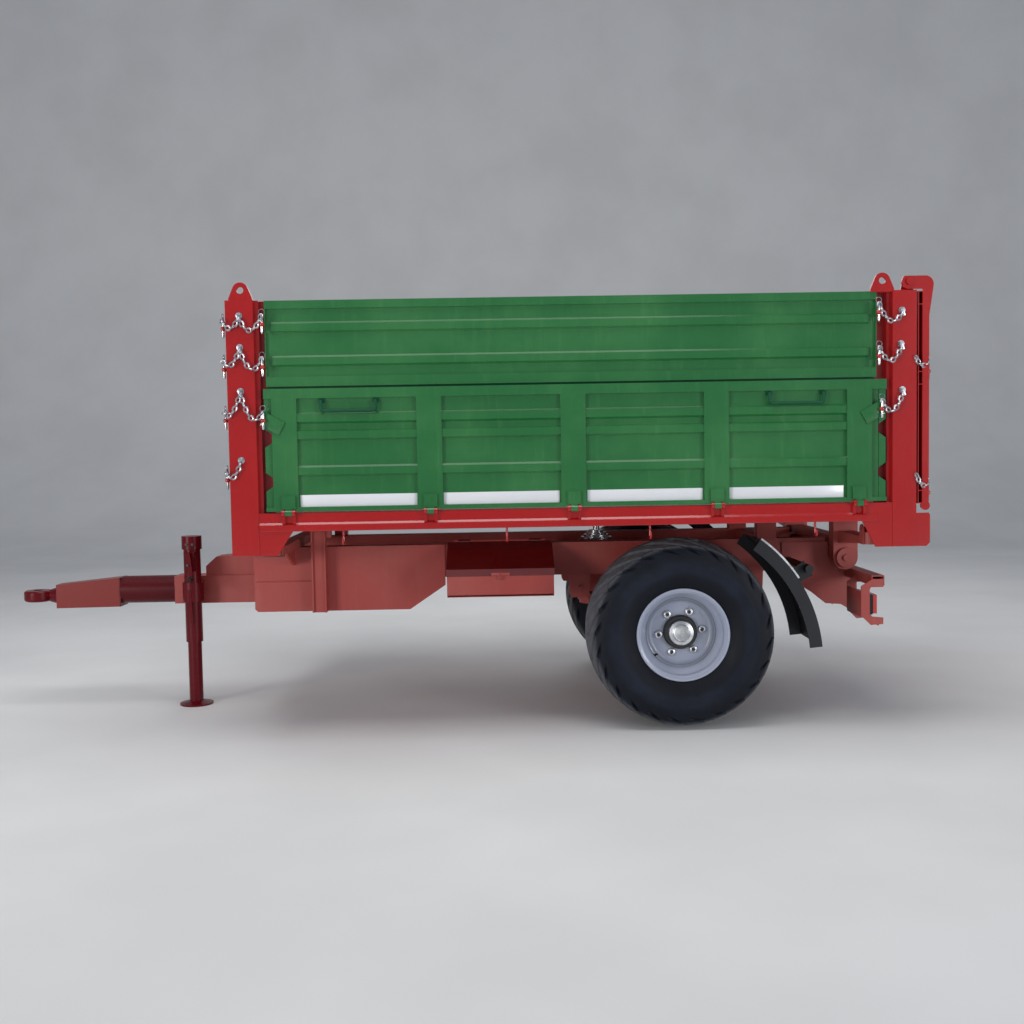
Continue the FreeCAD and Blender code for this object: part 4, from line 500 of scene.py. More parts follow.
# %% Paint the CAD nodes
PAINT_TABLE = (
    ("side_board", GREEN), ("upper_board", GREEN), ("front_board", GREEN), ("tailgate", RED),
    ("post_", RED), ("floor_frame", RED), ("floor_sheet", FLOOR_PAINT), ("rim", RIM), ("hub", HUB),
    ("tyre", TYRE), ("mudguard", GUARD), ("rear_lamp", LAMP), ("jack", MAROON), ("drawbar_nose", NOSE),
    ("towing_eye", MAROON), ("toolbox_lid", LID_SHADE_RED), ("ram_stage", GROUND_STEEL),
    ("pivot_ball", GROUND_STEEL), ("leaf_spring", SPRING_STEEL),
)


def paint_for(name):
    """The material of a CAD node, from how its name starts; the rest is chassis."""
    return next((paint for start, paint in PAINT_TABLE if name.startswith(start)), CHASSIS)


for name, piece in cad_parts.items():
    piece.data.materials.clear()
    piece.data.materials.append(paint_for(name))
print("painted", len(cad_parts), "nodes")

# %% [markdown]
# The tyre is one surface of revolution with the tread pressed into it. The
# profile is three arcs: side wall, crown, side wall. Diagonal grooves run from
# beside the centre rib to the shoulder, then sweep back along the side wall
# and fade out. A groove's place is a phase that grows with the angle and with
# the distance from the centre line, so one formula cuts all of them.

# %% The tyre's profile
RIM_LOW, RIM_HIGH = corners("rim_left")
RIM_HALF, RIM_RADIUS = ((RIM_HIGH - RIM_LOW) / 2)[1:].tolist()
BEAD_HALF = RIM_HALF - 0.007
GROOVES = 24
STEPS_PER_GROOVE = 22
GROOVE_DEPTH = 0.012
LIP_HEIGHT = 0.0014
BEAD_DROP = 0.016
SWEEP_REACH = 0.045
SHOULDER_RADIUS = TYRE_RADIUS - 0.024
SHOULDER_HALF = TYRE_HALF - 0.022


def soft_step(value, edge, width):
    """0 below the edge, 1 above it, smooth over the width."""
    t = np.clip((value - edge) / width + 0.5, 0.0, 1.0)
    return t * t * (3 - 2 * t)


def arc_centre(a, b, c):
    """Centre of the circle through three points of a plane.

    In words: the point on the perpendicular bisectors of a-b and of b-c.
    """
    a, b, c = (np.array(p) for p in (a, b, c))
    bisectors = np.array([b - a, c - b])
    return np.linalg.solve(bisectors, np.array([(b @ b - a @ a) / 2, (c @ c - b @ b) / 2]))


def arc_through(a, b, c, share):
    """Points on the circle through a, b and c, at these shares of the way from a to c."""
    ux, uy = arc_centre(a, b, c)
    start, middle, end = (math.atan2(p[1] - uy, p[0] - ux) for p in (a, b, c))
    while middle < start:
        middle += 2 * math.pi
    while end < start:
        end += 2 * math.pi
    if not start <= middle <= end:
        end -= 2 * math.pi
    angle = start + (end - start) * share
    radius = math.hypot(a[0] - ux, a[1] - uy)
    return np.stack([ux + radius * np.cos(angle), uy + radius * np.sin(angle)], -1)


def tyre_profile():
    """(y, radius) along the outside, the run from its middle, and the run to the shoulder."""
    seat = RIM_RADIUS * 0.917
    belly = seat + (TYRE_RADIUS - seat) * 0.48
    shoulder, edge = SHOULDER_RADIUS, SHOULDER_HALF
    wall, crown = np.linspace(0, 1, 44), np.linspace(0, 1, 90)
    # rows stand closer together towards the shoulder, where the grooves turn
    wall = 1 - (1 - wall) ** 1.5
    crown = 0.55 * crown + 0.45 * (0.5 - 0.5 * np.cos(math.pi * crown))
    near = arc_through((-BEAD_HALF, RIM_RADIUS), (-TYRE_HALF, belly), (-edge, shoulder), wall)
    top = arc_through((-edge, shoulder), (0.0, TYRE_RADIUS), (edge, shoulder), crown)
    profile = np.concatenate([near[:-1], top, near[::-1][1:] * (-1, 1)])
    run = np.concatenate([[0.0], np.cumsum(np.linalg.norm(np.diff(profile, axis=0), axis=1))])
    run -= run[-1] / 2
    return profile, run, float(run[len(near) + len(top) - 2])


def hump(value, centre, width):
    """A smooth bump: 1 at the centre, gone a few widths away."""
    return np.exp(-(((value - centre) / width) ** 2))


def tyre_points(mirror):
    """The tyre as a grid: each point moves inwards where a groove crosses it.

    In words: phase = grooves x angle / full turn + sweep(u), with u from 0 at
    the centre line to 1 where the groove ends on the side wall. A point is in
    a groove when the phase is near one half, within a width that narrows
    towards the side wall. The other half of the tyre is half a groove behind.
    """
    profile, run, shoulder_run = tyre_profile()
    along, out = profile[:, 0], profile[:, 1]
    outward = np.gradient(profile, axis=0)
    outward = np.stack([-outward[:, 1], outward[:, 0]], -1)
    outward /= np.linalg.norm(outward, axis=1)[:, None]
    u = (np.abs(run) / (shoulder_run + SWEEP_REACH))[:, None]
    angle = np.linspace(0, 2 * math.pi, GROOVES * STEPS_PER_GROOVE, endpoint=False)[None, :]
    behind = np.where(run < 0, 0.0, 0.5)[:, None]
    phase = (GROOVES / (2 * math.pi) * (angle + 0.34 * u + 0.30 * u**4) + behind) % 1.0
    from_middle, width = np.abs(phase - 0.5), 0.20 - 0.07 * u
    groove = 1 - soft_step(from_middle, width, 0.07)
    groove = groove * soft_step(u, 0.12, 0.05) * (1 - soft_step(u, 0.92, 0.14))
    # a shallow ring joins the grooves, and each groove's end has a raised lip
    ring = 1 - soft_step(np.abs(u - 0.40 - 0.02 * np.sin(phase * 2 * math.pi)), 0.014, 0.016)
    lip = hump(from_middle, width + 0.05, 0.035)
    lip = lip * soft_step(u, 0.80, 0.08) * (1 - soft_step(u, 0.97, 0.10))
    on_wall = np.where(np.abs(along) > SHOULDER_HALF, 1.0, 0.0)
    ribs = hump(out, RIM_RADIUS + 0.020, 0.005) * 0.0020 + hump(out, RIM_RADIUS + 0.118, 0.003) * 0.0010
    move = LIP_HEIGHT * lip + (ribs * on_wall)[:, None] - GROOVE_DEPTH * np.maximum(groove, ring * 0.5)
    y = along[:, None] + outward[:, 0][:, None] * move
    radius = out[:, None] + outward[:, 1][:, None] * move
    # two more rows close the tyre inside the rim
    for edge_y in (BEAD_HALF, -BEAD_HALF):
        y = np.concatenate([y, edge_y + 0 * angle])
        radius = np.concatenate([radius, RIM_RADIUS - BEAD_DROP + 0 * angle])
    return np.stack([radius * np.cos(angle), mirror * y, radius * np.sin(angle)], -1)


for side_name, side in SIDES.items():
    tyre = Shape().loop(tyre_points(-side) + (AXLE_X, side * TRACK_HALF, AXLE_Z))
    piece = tyre.place("treaded_tyre_" + side_name, "wheel_" + side_name, TYRE)
    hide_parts("tyre_" + side_name)

# %% [markdown]
# Six cone nuts hold each wheel. Each is a turned cone with a dark stud end in
# a shallow hole. The hub cap is a bright turned ring round a flat inner cap,
# and the valve stem leans out of the rim between two nuts.

# %% Wheel nuts, hub caps and valves
NUTS = 6
NUT_CIRCLE = 0.1025
NUT_TURN = math.radians(6)
DISC_FACE = TRACK_HALF + 0.062


def mirrored(points, side):
    """Points drawn for the left side, moved across for the right."""
    return points if side < 0 else points * (1, -1, 1)


# (radius, distance out from the disc or the hub's face) along each profile
NUT_CONE = [(0.0, 0.002), (0.0075, 0.002), (0.0085, 0.0125), (0.0105, 0.0140), (0.0160, 0.0115),
            (0.0185, 0.0060), (0.0190, -0.002), (0.0, -0.002)]
STUD_TIP = [(0.0, 0.0075), (0.006, 0.0075), (0.0072, 0.0063), (0.0072, 0.001), (0.0, 0.001)]
CAP_RINGS = [(0.0572, -0.030), (0.0572, -0.014), (0.0555, -0.0105), (0.0525, -0.0092),
             (0.0440, -0.0088), (0.0405, -0.0070), (0.0385, -0.0015), (0.0350, 0.0006),
             (0.0335, 0.0004), (0.0328, 0.0002), (0.0, 0.0010)]
VALVE_TURN = math.radians(221)
VALVE_RADII = (0.0095, 0.0080, 0.0055, 0.0045)


def stood_out(profile, face=0.0):
    """A profile's distances, turned to point out of the left wheel from a face."""
    return [(radius, -(face + out)) for radius, out in profile]


def valve_points():
    """The valve's stem: out of the rim, then bent towards the hub."""
    out = np.array((math.cos(VALVE_TURN), 0.0, math.sin(VALVE_TURN)))
    root = np.array((AXLE_X, -DISC_FACE - 0.002, AXLE_Z)) + 0.169 * out
    tip = root - 0.020 * out + (0, -0.032, 0)
    path = [root, root * 0.7 + tip * 0.3, root * 0.4 + tip * 0.6, tip]
    return swept(path, VALVE_RADII, 12, up=(0, 1, 0))


def wheel_trim(side_name, side):
    body, nuts, stud_ends, caps, valve = "wheel_" + side_name, Shape(), Shape(), Shape(), Shape()
    for k in range(NUTS):
        a = NUT_TURN + k * 2 * math.pi / NUTS
        centre = (AXLE_X + NUT_CIRCLE * math.cos(a), -DISC_FACE, AXLE_Z + NUT_CIRCLE * math.sin(a))
        nuts.lathe(mirrored(turned(stood_out(NUT_CONE), centre, "y", 20), side))
        stud_ends.lathe(mirrored(turned(stood_out(STUD_TIP), centre, "y", 16), side))
    low, high = corners("hub_" + side_name)
    face = -float(low[1]) if side < 0 else float(high[1])
    caps.lathe(mirrored(turned(stood_out(CAP_RINGS, face), (AXLE_X, 0, AXLE_Z), "y", 64), side))
    valve.solid(mirrored(valve_points(), side))
    nuts.place("wheel_nuts_" + side_name, body, ALUMINIUM)
    stud_ends.place("stud_ends_" + side_name, body, SPRING_STEEL)
    caps.place("hub_cap_" + side_name, body, ALUMINIUM, outward=False)
    valve.place("valve_" + side_name, body, HOSE)


for side_name, side in SIDES.items():
    wheel_trim(side_name, side)
print("nuts per wheel:", NUTS)

# %% [markdown]
# A chain is one link repeated. The link is a thin bar swept round a flat oval
# and every second link is turned a quarter about the chain's line. The line
# itself hangs between its two ends like a rope: a parabola whose sag follows
# from the slack.

# %% Chains
LINK_WIRE = 0.0040
LINK_LENGTH = 0.031
LINK_HALF_WIDTH = 0.0092
LINK_HALF = LINK_LENGTH / 2 - LINK_WIRE
CHAIN_PITCH = LINK_LENGTH - 2 * LINK_WIRE * 1.15
UP = np.array((0.0, 0.0, 1.0))


def link_points(sides=5, steps=10):
    """One link along +X, as a closed grid of points."""
    t = np.linspace(0, 2 * math.pi, steps, endpoint=False)
    cos, sin, straight = np.cos(t), np.sin(t), LINK_HALF - LINK_HALF_WIDTH
    x = np.clip(cos * LINK_HALF * 1.25, -straight, straight)
    x = x + LINK_HALF_WIDTH * cos * (np.abs(cos) ** 0.6)
    y = LINK_HALF_WIDTH * np.sign(sin) * np.abs(sin) ** 0.75
    centre = np.stack([x, y, 0 * t], -1)
    tangent = np.roll(centre, -1, 0) - np.roll(centre, 1, 0)
    tangent /= np.linalg.norm(tangent, axis=1)[:, None]
    side = np.stack([tangent[:, 1], -tangent[:, 0], 0 * t], -1)
    ring = np.linspace(0, 2 * math.pi, sides, endpoint=False)[None, :, None]
    return centre[:, None] + LINK_WIRE * (np.cos(ring) * side[:, None] + np.sin(ring) * UP)


LINK = link_points()


def hanging_line(a, b, sag, count=200):
    """Points from a to b that sag under their weight."""
    a, b = np.array(a, float), np.array(b, float)
    t = np.linspace(0, 1, count)[:, None]
    line = a + (b - a) * t
    line[:, 2] -= 4 * sag * (t * (1 - t))[:, 0]
    return line


def chain(shape, line):
    """Adds the links of one chain along a line of points to a shape."""
    run = np.concatenate([[0.0], np.cumsum(np.linalg.norm(np.diff(line, axis=0), axis=1))])

    def along(distance):
        return np.array([np.interp(distance, run, line[:, c]) for c in range(3)])

    count = max(2, int(round(run[-1] / CHAIN_PITCH)))
    for k in range(count):
        middle = run[-1] * (k + 0.5) / count
        x = along(min(middle + 0.004, run[-1])) - along(max(middle - 0.004, 0))
        x = x / np.linalg.norm(x)
        y = np.cross(UP if abs(x[2]) < 0.95 else (1.0, 0.0, 0.0), x)
        y /= np.linalg.norm(y)
        z = np.cross(x, y)
        if k % 2:
            y, z = z, -y
        shape.loop(along(middle) + LINK @ np.stack([x, y, z]))


# %% [markdown]
# Trim sits on the CAD surface, so its depth is read from the surface itself: a
# ray is sent in from the side and the Y where it lands is used.

# %% Reading the outer surface
def skin(name, x, z, side):
    """Y of a CAD node's outer face at this x and z, seen from one side."""
    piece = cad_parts[name]
    back = piece.matrix_world.inverted()
    start = back @ Vector((x, side * 3.0, z))
    found, where, _, _ = piece.ray_cast(start, back.to_3x3() @ Vector((0.0, -side, 0.0)))
    return float((piece.matrix_world @ where).y) if found else None


POST_FRONT_X, POST_Y = (corners("post_front_left")[0][:2] * (1, -1)).tolist()
POST_REAR_X = float(corners("post_rear_left")[0][0])
POST_COVER = 0.003
FACE_Y = POST_Y + POST_COVER
BOARD_Y = -skin("side_board_left", AXLE_X - 0.5, 1.09, -1)
print("post face at y %.4f, board skin at y %.4f" % (FACE_Y, BOARD_Y))

# %% [markdown]
# Each board is locked by bright upright pins at the corner posts. A pin has a
# ring at its top and a red cap half-way, and a chain ties it to a bolt on the
# post. At the front the chains go round the post's corner to pins of the front
# board, and at the back to the tailgate.

# %% Pins, rings, bolts and turned blocks
PIN_SHANK = [(0, -0.046), (0.0045, -0.044), (0.0062, -0.036), (0.0062, 0.030), (0.0042, 0.040),
             (0, 0.041)]
BOLT_HEAD = [(0, 0), (0.0150, 0), (0.0150, 0.003), (0.0085, 0.0032), (0.0085, 0.0085),
             (0.0070, 0.0100), (0, 0.0102)]
CAP_RADIUS = 0.0115


def add_block(shape, centre, size, angle=0.0, ease=0.0015):
    """Adds an eased block, turned in the XZ plane by an angle in degrees."""
    half = np.array(size) / 2
    points = eased_block(-half, half, ease)
    c, s = math.cos(math.radians(angle)), math.sin(math.radians(angle))
    x, z = points[..., 0].copy(), points[..., 2].copy()
    points[..., 0], points[..., 2] = c * x - s * z, s * x + c * z
    shape.solid(points + np.array(centre))


def ring_points(centre, radius, wire, normal, steps=20, sides=6):
    """A closed wire ring about the X or the Y axis."""
    t = np.linspace(0, 2 * math.pi, steps, endpoint=False)
    c, s = np.cos(t), np.sin(t)
    out, axis = ((c, 0 * t, s), (0, 1.0, 0)) if normal == "y" else ((0 * t, c, s), (1.0, 0, 0))
    out = np.stack(out, -1)[:, None]
    r = np.linspace(0, 2 * math.pi, sides, endpoint=False)[None, :, None]
    return np.array(centre) + out * (radius + wire * np.cos(r)) + wire * np.sin(r) * np.array(axis)


def lock_pin(bright, caps, centre, normal):
    """Upright pin with a ring at the top and a red cap round its middle."""
    x, y, z = centre
    turns = np.linspace(-math.pi / 2, math.pi / 2, 9)
    ball = [(CAP_RADIUS * math.cos(a), CAP_RADIUS * math.sin(a)) for a in turns]
    bright.lathe(turned(PIN_SHANK, centre, "z", 14))
    bright.loop(ring_points((x, y, z + 0.050), 0.0125, 0.0017, normal))
    caps.lathe(turned(ball, (x, y, z - 0.004), "z", 16))


def chain_bolt(bright, centre, sign):
    """Washer and round bolt head that hold the end of a chain."""
    bright.lathe(turned([(r, sign * h) for r, h in BOLT_HEAD], centre, "y", 20))


# %% Lock pins and chains: (x from the axle, z) of each bolt and pin
FRONT_BOLTS = ((-1.968, 1.911), (-1.968, 1.772), (-1.970, 1.579))
FRONT_PINS = ((-1.866, 1.875), (-1.868, 1.687), (-1.872, 1.452))
CORNER_BOLT = (-1.976, 1.274)
CORNER_PINS = (1.862, 1.682, 1.455, 1.190)
REAR_BOLTS = ((0.972, 1.891), (0.968, 1.742), (0.974, 1.538))
REAR_PINS = ((0.864, 1.885), (0.866, 1.692), (0.879, 1.458))
GATE_BOLTS = ((1.030, 1.687), (1.034, 1.163))
GATE_PINS = (1.622, 1.080)


def post_hardware(side_name, side):
    """Pins of one side's boards and front board, their chains and bolts."""
    pins, caps, links, bolts = Shape(), Shape(), Shape(), Shape()
    face, y = side * FACE_Y, side * (FACE_Y + 0.0137)
    for (bx, bz), (px, pz) in zip(FRONT_BOLTS + REAR_BOLTS, FRONT_PINS + REAR_PINS):
        chain_bolt(bolts, (AXLE_X + bx, face, bz), side)
        # round-ended plate on the bolt, leaning the way its chain pulls
        tab = (AXLE_X + bx, face + side * 0.0125, bz - 0.010)
        add_block(bolts, tab, (0.016, 0.004, 0.034), 20.0, 0.0018)
        lock_pin(pins, caps, (AXLE_X + px, y, pz), "y")
        sag = 0.060 + 0.12 * abs(bz - pz)
        chain(links, hanging_line((AXLE_X + bx, y, bz - 0.008), (AXLE_X + px, y, pz + 0.040), sag))
    chain_bolt(bolts, (AXLE_X + CORNER_BOLT[0], face, CORNER_BOLT[1]), side)
    for (bx, bz), pz in zip(FRONT_BOLTS + (CORNER_BOLT,), CORNER_PINS):
        end = (POST_FRONT_X - 0.016, side * (FACE_Y - 0.030), pz)
        lock_pin(pins, caps, end, "x")
        bend = (POST_FRONT_X - 0.012, side * (FACE_Y + 0.012), pz + 0.026)
        first = hanging_line((AXLE_X + bx, y, bz - 0.008), bend, 0.040)
        last = hanging_line(bend, (end[0], end[1], pz + 0.044), 0.012)
        chain(links, np.concatenate([first, last[1:]]))
    pins.place("lock_pins_" + side_name, "box", CHROME)
    caps.place("lock_pin_caps_" + side_name, "box", RED_BALL)
    links.place("lock_chains_" + side_name, "box", ZINC)
    bolts.place("chain_bolts_" + side_name, "box", ZINC)


def gate_hardware(side_name, side):
    """Pins and chains that lock one edge of the tailgate."""
    pins, caps, links = Shape(), Shape(), Shape()
    gate_x = float(corners("tailgate")[1][0]) - 0.020
    for (bx, bz), pz in zip(GATE_BOLTS, GATE_PINS):
        end = (gate_x, side * (FACE_Y - 0.016), pz)
        lock_pin(pins, caps, end, "x")
        start = (AXLE_X + bx, side * (FACE_Y + 0.010), bz)
        chain(links, hanging_line(start, (end[0], end[1], pz + 0.042), 0.030))
    pins.place("gate_pins_" + side_name, "tailgate", CHROME)
    caps.place("gate_pin_caps_" + side_name, "tailgate", RED_BALL)
    links.place("gate_chains_" + side_name, "tailgate", ZINC)


for side_name, side in SIDES.items():
    post_hardware(side_name, side)
    gate_hardware(side_name, side)
print("chain links drawn from one link of", len(LINK) * len(LINK[0]), "points")

# %% [markdown]
# Board trim: a blank white film strip low in each of the four panels, two
# folded handles under the top rail, and a tilted lock plate at each top
# corner. All of it lies on the board and swings with it.

# %% Board trim, with x from the axle
STRIPS = ((-1.722, -1.200), (-1.082, -0.563), (-0.438, 0.080), (0.200, 0.716))
STRIP_Z, STRIP_HEIGHT = 1.088, 0.053
HANDLES = (-1.497, 0.501)
HANDLE_Z, HANDLE_HALF, HANDLE_DEPTH, HANDLE_BAR = 1.512, 0.121, 0.020, 0.0075
LOCK_PLATES = ((-1.833, 1.433, -30.0), (0.842, 1.439, 30.0))


def handle_path(x, y, out):
    """Middle line of a handle: out of the board, down, along and back again."""
    half = np.array([(-HANDLE_HALF, y, 1.536), (-HANDLE_HALF, out, 1.531), (-HANDLE_HALF, out, 1.497),
                     (-0.116, out, 1.489), (-0.106, out, 1.487)])
    return np.concatenate([half, half[::-1] * (-1, 1, 1)]) + (x, 0, 0)


def board_trim(side_name, side):
    """Strips, handles and lock plates of one side board."""
    board = "side_board_" + side_name
    strips, handles, plates = Shape(), Shape(), Shape()
    for x0, x1 in STRIPS:
        x = AXLE_X + (x0 + x1) / 2
        y = skin(board, x, STRIP_Z, side) + side * 0.0006
        add_block(strips, (x, y, STRIP_Z), (x1 - x0, 0.0018, STRIP_HEIGHT), ease=0.0006)
    for x in HANDLES:
        x += AXLE_X
        y = skin(board, x, HANDLE_Z, side)
        handles.solid(swept(handle_path(x, y, y + side * HANDLE_DEPTH), HANDLE_BAR, 10, up=(0, 1, 0)))
        for end in (-HANDLE_HALF, HANDLE_HALF):
            add_block(handles, (x + end, y + side * 0.003, 1.535), (0.030, 0.008, 0.022))
    for x, z, angle in LOCK_PLATES:
        # the plate lies on the stile and bridges the step beside it
        towards_middle = -math.copysign(0.035, x)
        y = side * max(abs(skin(board, AXLE_X + x + step, z, side)) for step in (0.0, towards_middle))
        add_block(plates, (AXLE_X + x, y + side * 0.003, z), (0.093, 0.008, 0.062), angle)
    strips.place("white_strips_" + side_name, board, WHITE)
    handles.place("fold_handles_" + side_name, board, DULL_GREEN_AND_GAP_SHADE)
    plates.place("lock_plates_" + side_name, board, GREEN)


for side_name, side in SIDES.items():
    board_trim(side_name, side)
print("strips per board:", len(STRIPS))

# %% [markdown]
# Under the floor rail hang small red rope hooks, and the toolbox has a hasp.

# %% Rope hooks and hasp
HOOKS_AT = (-1.537, -0.802, -0.155, 0.594)
HOOK_Y, HOOK_Z, HOOK_RADIUS, HOOK_BAR = 0.958, 0.905, 0.015, 0.0052


def rope_hook(x, side):
    """A round bar that comes down, turns outwards and points up."""
    bend = [(x, HOOK_Y + HOOK_RADIUS * (1 + math.cos(a)), HOOK_Z + HOOK_RADIUS * math.sin(a))
            for a in np.linspace(-math.pi, 0.0, 9)]
    path = [(x, HOOK_Y, 0.956), (x, HOOK_Y, 0.930)] + bend + [(x, HOOK_Y + 2 * HOOK_RADIUS, 0.918)]
    return mirrored(swept(np.array(path) * (1, -1, 1), HOOK_BAR, 10, up=(1, 0, 0)), side)


for side_name, side in SIDES.items():
    hooks = Shape()
    for x in HOOKS_AT:
        hooks.solid(rope_hook(AXLE_X + x, side))
    hooks.place("rope_hooks_" + side_name, "box", RED)

low, high = corners("toolbox")
middle = float(low[0] + high[0]) / 2
front_y = skin("toolbox", middle, float(low[2]) + 0.06, -1)
hasp = Shape()
add_block(hasp, (middle, front_y - 0.003, 0.706), (0.088, 0.006, 0.014))
add_block(hasp, (middle, front_y - 0.004, 0.694), (0.026, 0.008, 0.030))
hasp.loop(ring_points((middle, front_y - 0.010, 0.690), 0.009, 0.0024, "x"))
hasp.place("toolbox_hasp", "chassis", CHASSIS)
print("hooks per side:", len(HOOKS_AT))

# %% [markdown]
# Thin parts finish each side. A dark, dull green lip behind the upper board
# closes the gap over the lower one: a strip of painted shade for the gap. A
# bright flat bar runs along the mudguard's back, the side rail has a folded
# edge along its foot, and each corner post a face plate.

# %% Lips, mudguard bars, rail edges and post covers
LIP_Y = 0.9475
GUARD_ARC = ((0.350, 0.869), (0.541, 0.655), (0.630, 0.375))
# (y beyond the posts, z) round the folded edge
RAIL_EDGE = ((-0.001, 0.993), (0.008, 0.983), (0.010, 0.979), (0.010, 0.957), (0.007, 0.9535),
             (-0.001, 0.9535))
# x of both edges from the axle, z of the foot
POST_COVERS = ((-2.0285, -1.9065, 0.847), (0.9315, 1.0385, 0.838))
COVER_TOP = 1.9785


def guard_bar(side):
    """Flat bar on edge that follows the mudguard's arc, a little outside it."""
    centre = arc_centre(*GUARD_ARC)
    radius = np.linalg.norm(np.array(GUARD_ARC[0]) - centre)
    rows = []
    for angle in np.radians(np.linspace(53.5, 33.0, 14)):
        out = np.array([math.cos(angle), math.sin(angle)])
        near, far = centre + out * (radius + 0.001), centre + out * (radius + 0.013)
        section = ((near, 0.924), (far, 0.924), (far, 0.930), (near, 0.930))
        rows.append([(AXLE_X + p[0], side * y, p[1]) for p, y in section])
    return np.array(rows)


def rail_edge(side):
    """Folded edge along the side rail's foot: sloping on top, upright in front."""
    ends = (POST_FRONT_X + 0.126, POST_REAR_X + 0.064)
    return np.array([[(x, side * (POST_Y + y), z) for y, z in RAIL_EDGE] for x in ends])


for side_name, side in SIDES.items():
    lip, bar, edge, covers = Shape(), Shape(), Shape(), Shape()
    low, high = corners("upper_board_" + side_name)
    y, z = side * LIP_Y, low[2]
    lip.solid(eased_block((low[0], y - 0.0015, z - 0.016), (high[0], y + 0.0015, z + 0.020), 0.0006))
    # the lip is dark, dull green: painted shade in the gap between the boards
    lip.place("gap_shade_lip_" + side_name, "box", DULL_GREEN_AND_GAP_SHADE)
    bar.solid(guard_bar(side))
    bar.place("guard_bar_" + side_name, "chassis", ALUMINIUM)
    edge.solid(rail_edge(side))
    edge.place("rail_edge_" + side_name, "box", RED, smooth=False)
    y0, y1 = sorted((side * (POST_Y - 0.001), side * FACE_Y))
    for x0, x1, foot in POST_COVERS:
        covers.solid(eased_block((AXLE_X + x0, y0, foot), (AXLE_X + x1, y1, COVER_TOP), 0.001))
    covers.place("post_covers_" + side_name, "box", RED, smooth=False)
print("lips and bars placed")

# %% [markdown]
# The jack's crank has a black hand grip and a few dark bolt heads, and a weld
# bead runs along the seam of each long side plate in front of the upright.

# %% Jack fittings and weld beads
JACK_X, JACK_Y = AXLE_X - 2.431, -0.150
GRIP = [(0.0, -0.0600), (0.0125, -0.0585), (0.0140, -0.0540), (0.0128, -0.0300), (0.0140, -0.0060),
        (0.0128, -0.0010), (0.0111, 0.0)]
JACK_BOLTS = ((-0.016, 0.838), (0.016, 0.838), (0.0, 0.735))
HEX_HEAD = [(0.0, 0.0), (0.008, 0.0), (0.008, -0.0048), (0.00688, -0.006), (0.0, -0.006)]
SEAM_X, SEAM_Z = (AXLE_X - 2.050, AXLE_X - 1.772), 0.661
SEAM_RADIUS, SEAM_RIPPLE, SEAM_PITCH = 0.0032, 0.0008, 0.006


def weld_bead(y, sides=8):
    """A rippled bead along X: its radius swells once for every pitch."""
    x = np.arange(*SEAM_X, SEAM_PITCH / 3)
    swell = SEAM_RADIUS + SEAM_RIPPLE * np.cos(2 * math.pi * (x - x[0]) / SEAM_PITCH)
    turn = np.linspace(0, 2 * math.pi, sides, endpoint=False)
    ring = np.stack([0 * turn, np.cos(turn), np.sin(turn)], -1)
    path = np.stack([x, np.full_like(x, y), np.full_like(x, SEAM_Z)], -1)
    return path[:, None] + ring * swell[:, None, None]


grip, bolts = Shape(), Shape()
grip.lathe(turned(GRIP, (JACK_X + 0.017, JACK_Y - 0.094, 0.666), "y", 20))
for dx, z in JACK_BOLTS:
    bolts.lathe(turned(HEX_HEAD, (JACK_X + dx, skin("jack_housing", JACK_X + dx, z, -1), z), "y", 6))
grip.place("crank_grip", "chassis", HOSE)
bolts.place("jack_bolts", "chassis", SPRING_STEEL)
for side_name, side in SIDES.items():
    bead = Shape().solid(weld_bead(skin("chassis_rail_" + side_name, AXLE_X - 1.95, 0.66, side)))
    bead.place("weld_bead_" + side_name, "chassis", CHASSIS)
print("jack bolts and weld beads placed")

# %% [markdown]
# The stage: a plain pale floor that curves up far behind, a large soft lamp
# overhead, two low ones at the front corners, a faint one beyond the far side
# and an even sky. Standard colours are kept, so paints show as they are set.

# %% Floor and backdrop
FLOOR_REACH = 40.0
WALL_Y, WALL_TOP, WALL_CURVE = 8.0, 12.0, 5.0


def add_floor():
    """A flat floor that bends up into a wall behind: one strip swept along X."""
    bend = [k / 12 * math.pi / 2 for k in range(1, 13)]
    line = [(-FLOOR_REACH, 0.0), (WALL_Y, 0.0)]
    line += [(WALL_Y + WALL_CURVE * math.sin(a), WALL_CURVE * (1 - math.cos(a))) for a in bend]
    line += [(WALL_Y + WALL_CURVE, WALL_TOP)]
    mesh = bpy.data.meshes.new("floor")
    points = [(x, y, z) for x in (-FLOOR_REACH, FLOOR_REACH) for y, z in line]
    mesh.from_pydata(points, [], grid_faces(2, len(line))[:, ::-1].tolist())
    mesh.shade_smooth()
    material, tree, shader = new_material("pale floor")
    shade = ramp(tree, noise(tree, object_place(tree), 0.8, 3.0), 0.3, 0.7)
    grey = blend_colour(tree, shade, (0.70, 0.70, 0.69, 1), (0.76, 0.76, 0.75, 1))
    fill(tree, shader, Base_Color=grey, Roughness=0.7)
    mesh.materials.append(material)
    add_object("floor", mesh)


add_floor()
print("floor added")

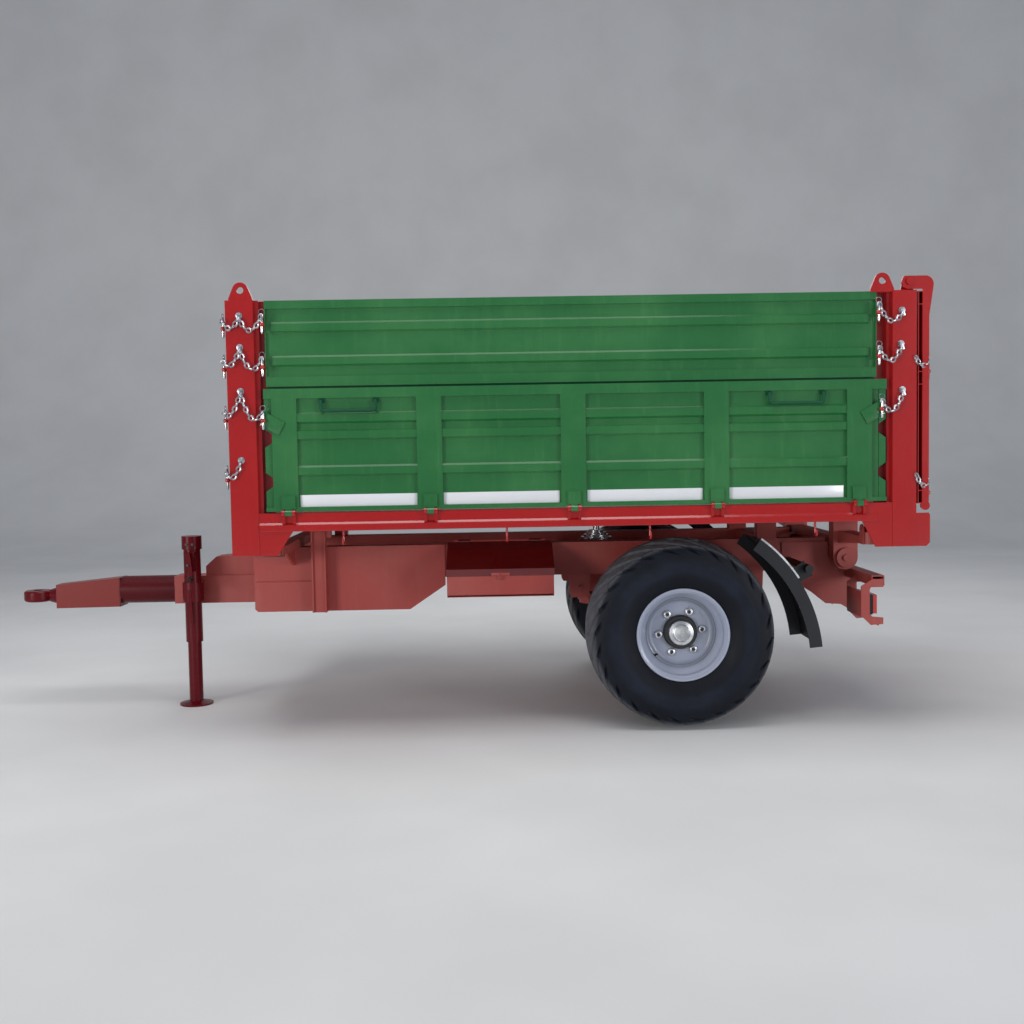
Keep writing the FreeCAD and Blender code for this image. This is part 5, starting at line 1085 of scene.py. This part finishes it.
# %% Lamps and sky: place and aim with x from the axle, size, power, colour
LAMPS = {
    "overhead softbox": ((-1.0, -1.4, 6.5), (-0.9, -0.3, 0.8), 4.5, 240, (1.0, 1.0, 1.0)),
    "low left softbox": ((-8.6, -8.2, 2.0), (-1.1, 0.0, 0.9), 3.0, 420, (1.0, 0.99, 0.97)),
    "low right softbox": ((7.4, -8.2, 2.0), (-0.6, 0.0, 0.9), 3.0, 350, (0.96, 0.98, 1.0)),
    "far side softbox": ((-0.5, 5.0, 4.5), (-0.5, 0.0, 1.0), 4.0, 60, (1.0, 1.0, 1.0)),
}


def add_lamp(name, place, aim, size, power, colour):
    """A square area lamp that faces the aim point."""
    lamp = bpy.data.lights.new(name, "AREA")
    lamp.shape, lamp.size, lamp.energy, lamp.color = "SQUARE", size, power, colour
    made = add_object(name, lamp)
    made.location = Vector(place) + Vector((AXLE_X, 0, 0))
    made.rotation_euler = (Vector(aim) - Vector(place)).to_track_quat("-Z", "Y").to_euler()


for name, lamp in LAMPS.items():
    add_lamp(name, *lamp)
world = bpy.data.worlds.new("even sky")
world.use_nodes = True
sky = world.node_tree.nodes["Background"].inputs
sky["Color"].default_value = (0.83, 0.88, 1.0, 1)
sky["Strength"].default_value = 0.33
bpy.context.scene.world = world
print("lamps:", list(LAMPS))

# %% [markdown]
# The camera stands to the left side, nearly square to it and a little above
# half height. It is turned level to face +Y, then by its yaw, pitch and roll.

# %% Camera
CAMERA_PLACE = (AXLE_X - 0.8517, -6.2, 1.323)
CAMERA_YAW, CAMERA_PITCH, CAMERA_ROLL = 0.0142, -0.0577, -0.0174

camera = bpy.data.cameras.new("camera")
camera.lens, camera.sensor_width, camera.sensor_fit = 40.95, 36.0, "HORIZONTAL"
camera.clip_end = 100.0
camera.dof.use_dof = False
eye = add_object("camera", camera)
turns = ((-CAMERA_YAW, "Z"), (math.pi / 2 + CAMERA_PITCH, "X"), (CAMERA_ROLL, "Z"))
matrix = Matrix.Translation(CAMERA_PLACE)
for angle, axis in turns:
    matrix = matrix @ Matrix.Rotation(angle, 4, axis)
eye.matrix_world = matrix
bpy.context.scene.camera = eye
bpy.context.scene.view_settings.view_transform = "Standard"
print("camera lens:", camera.lens)
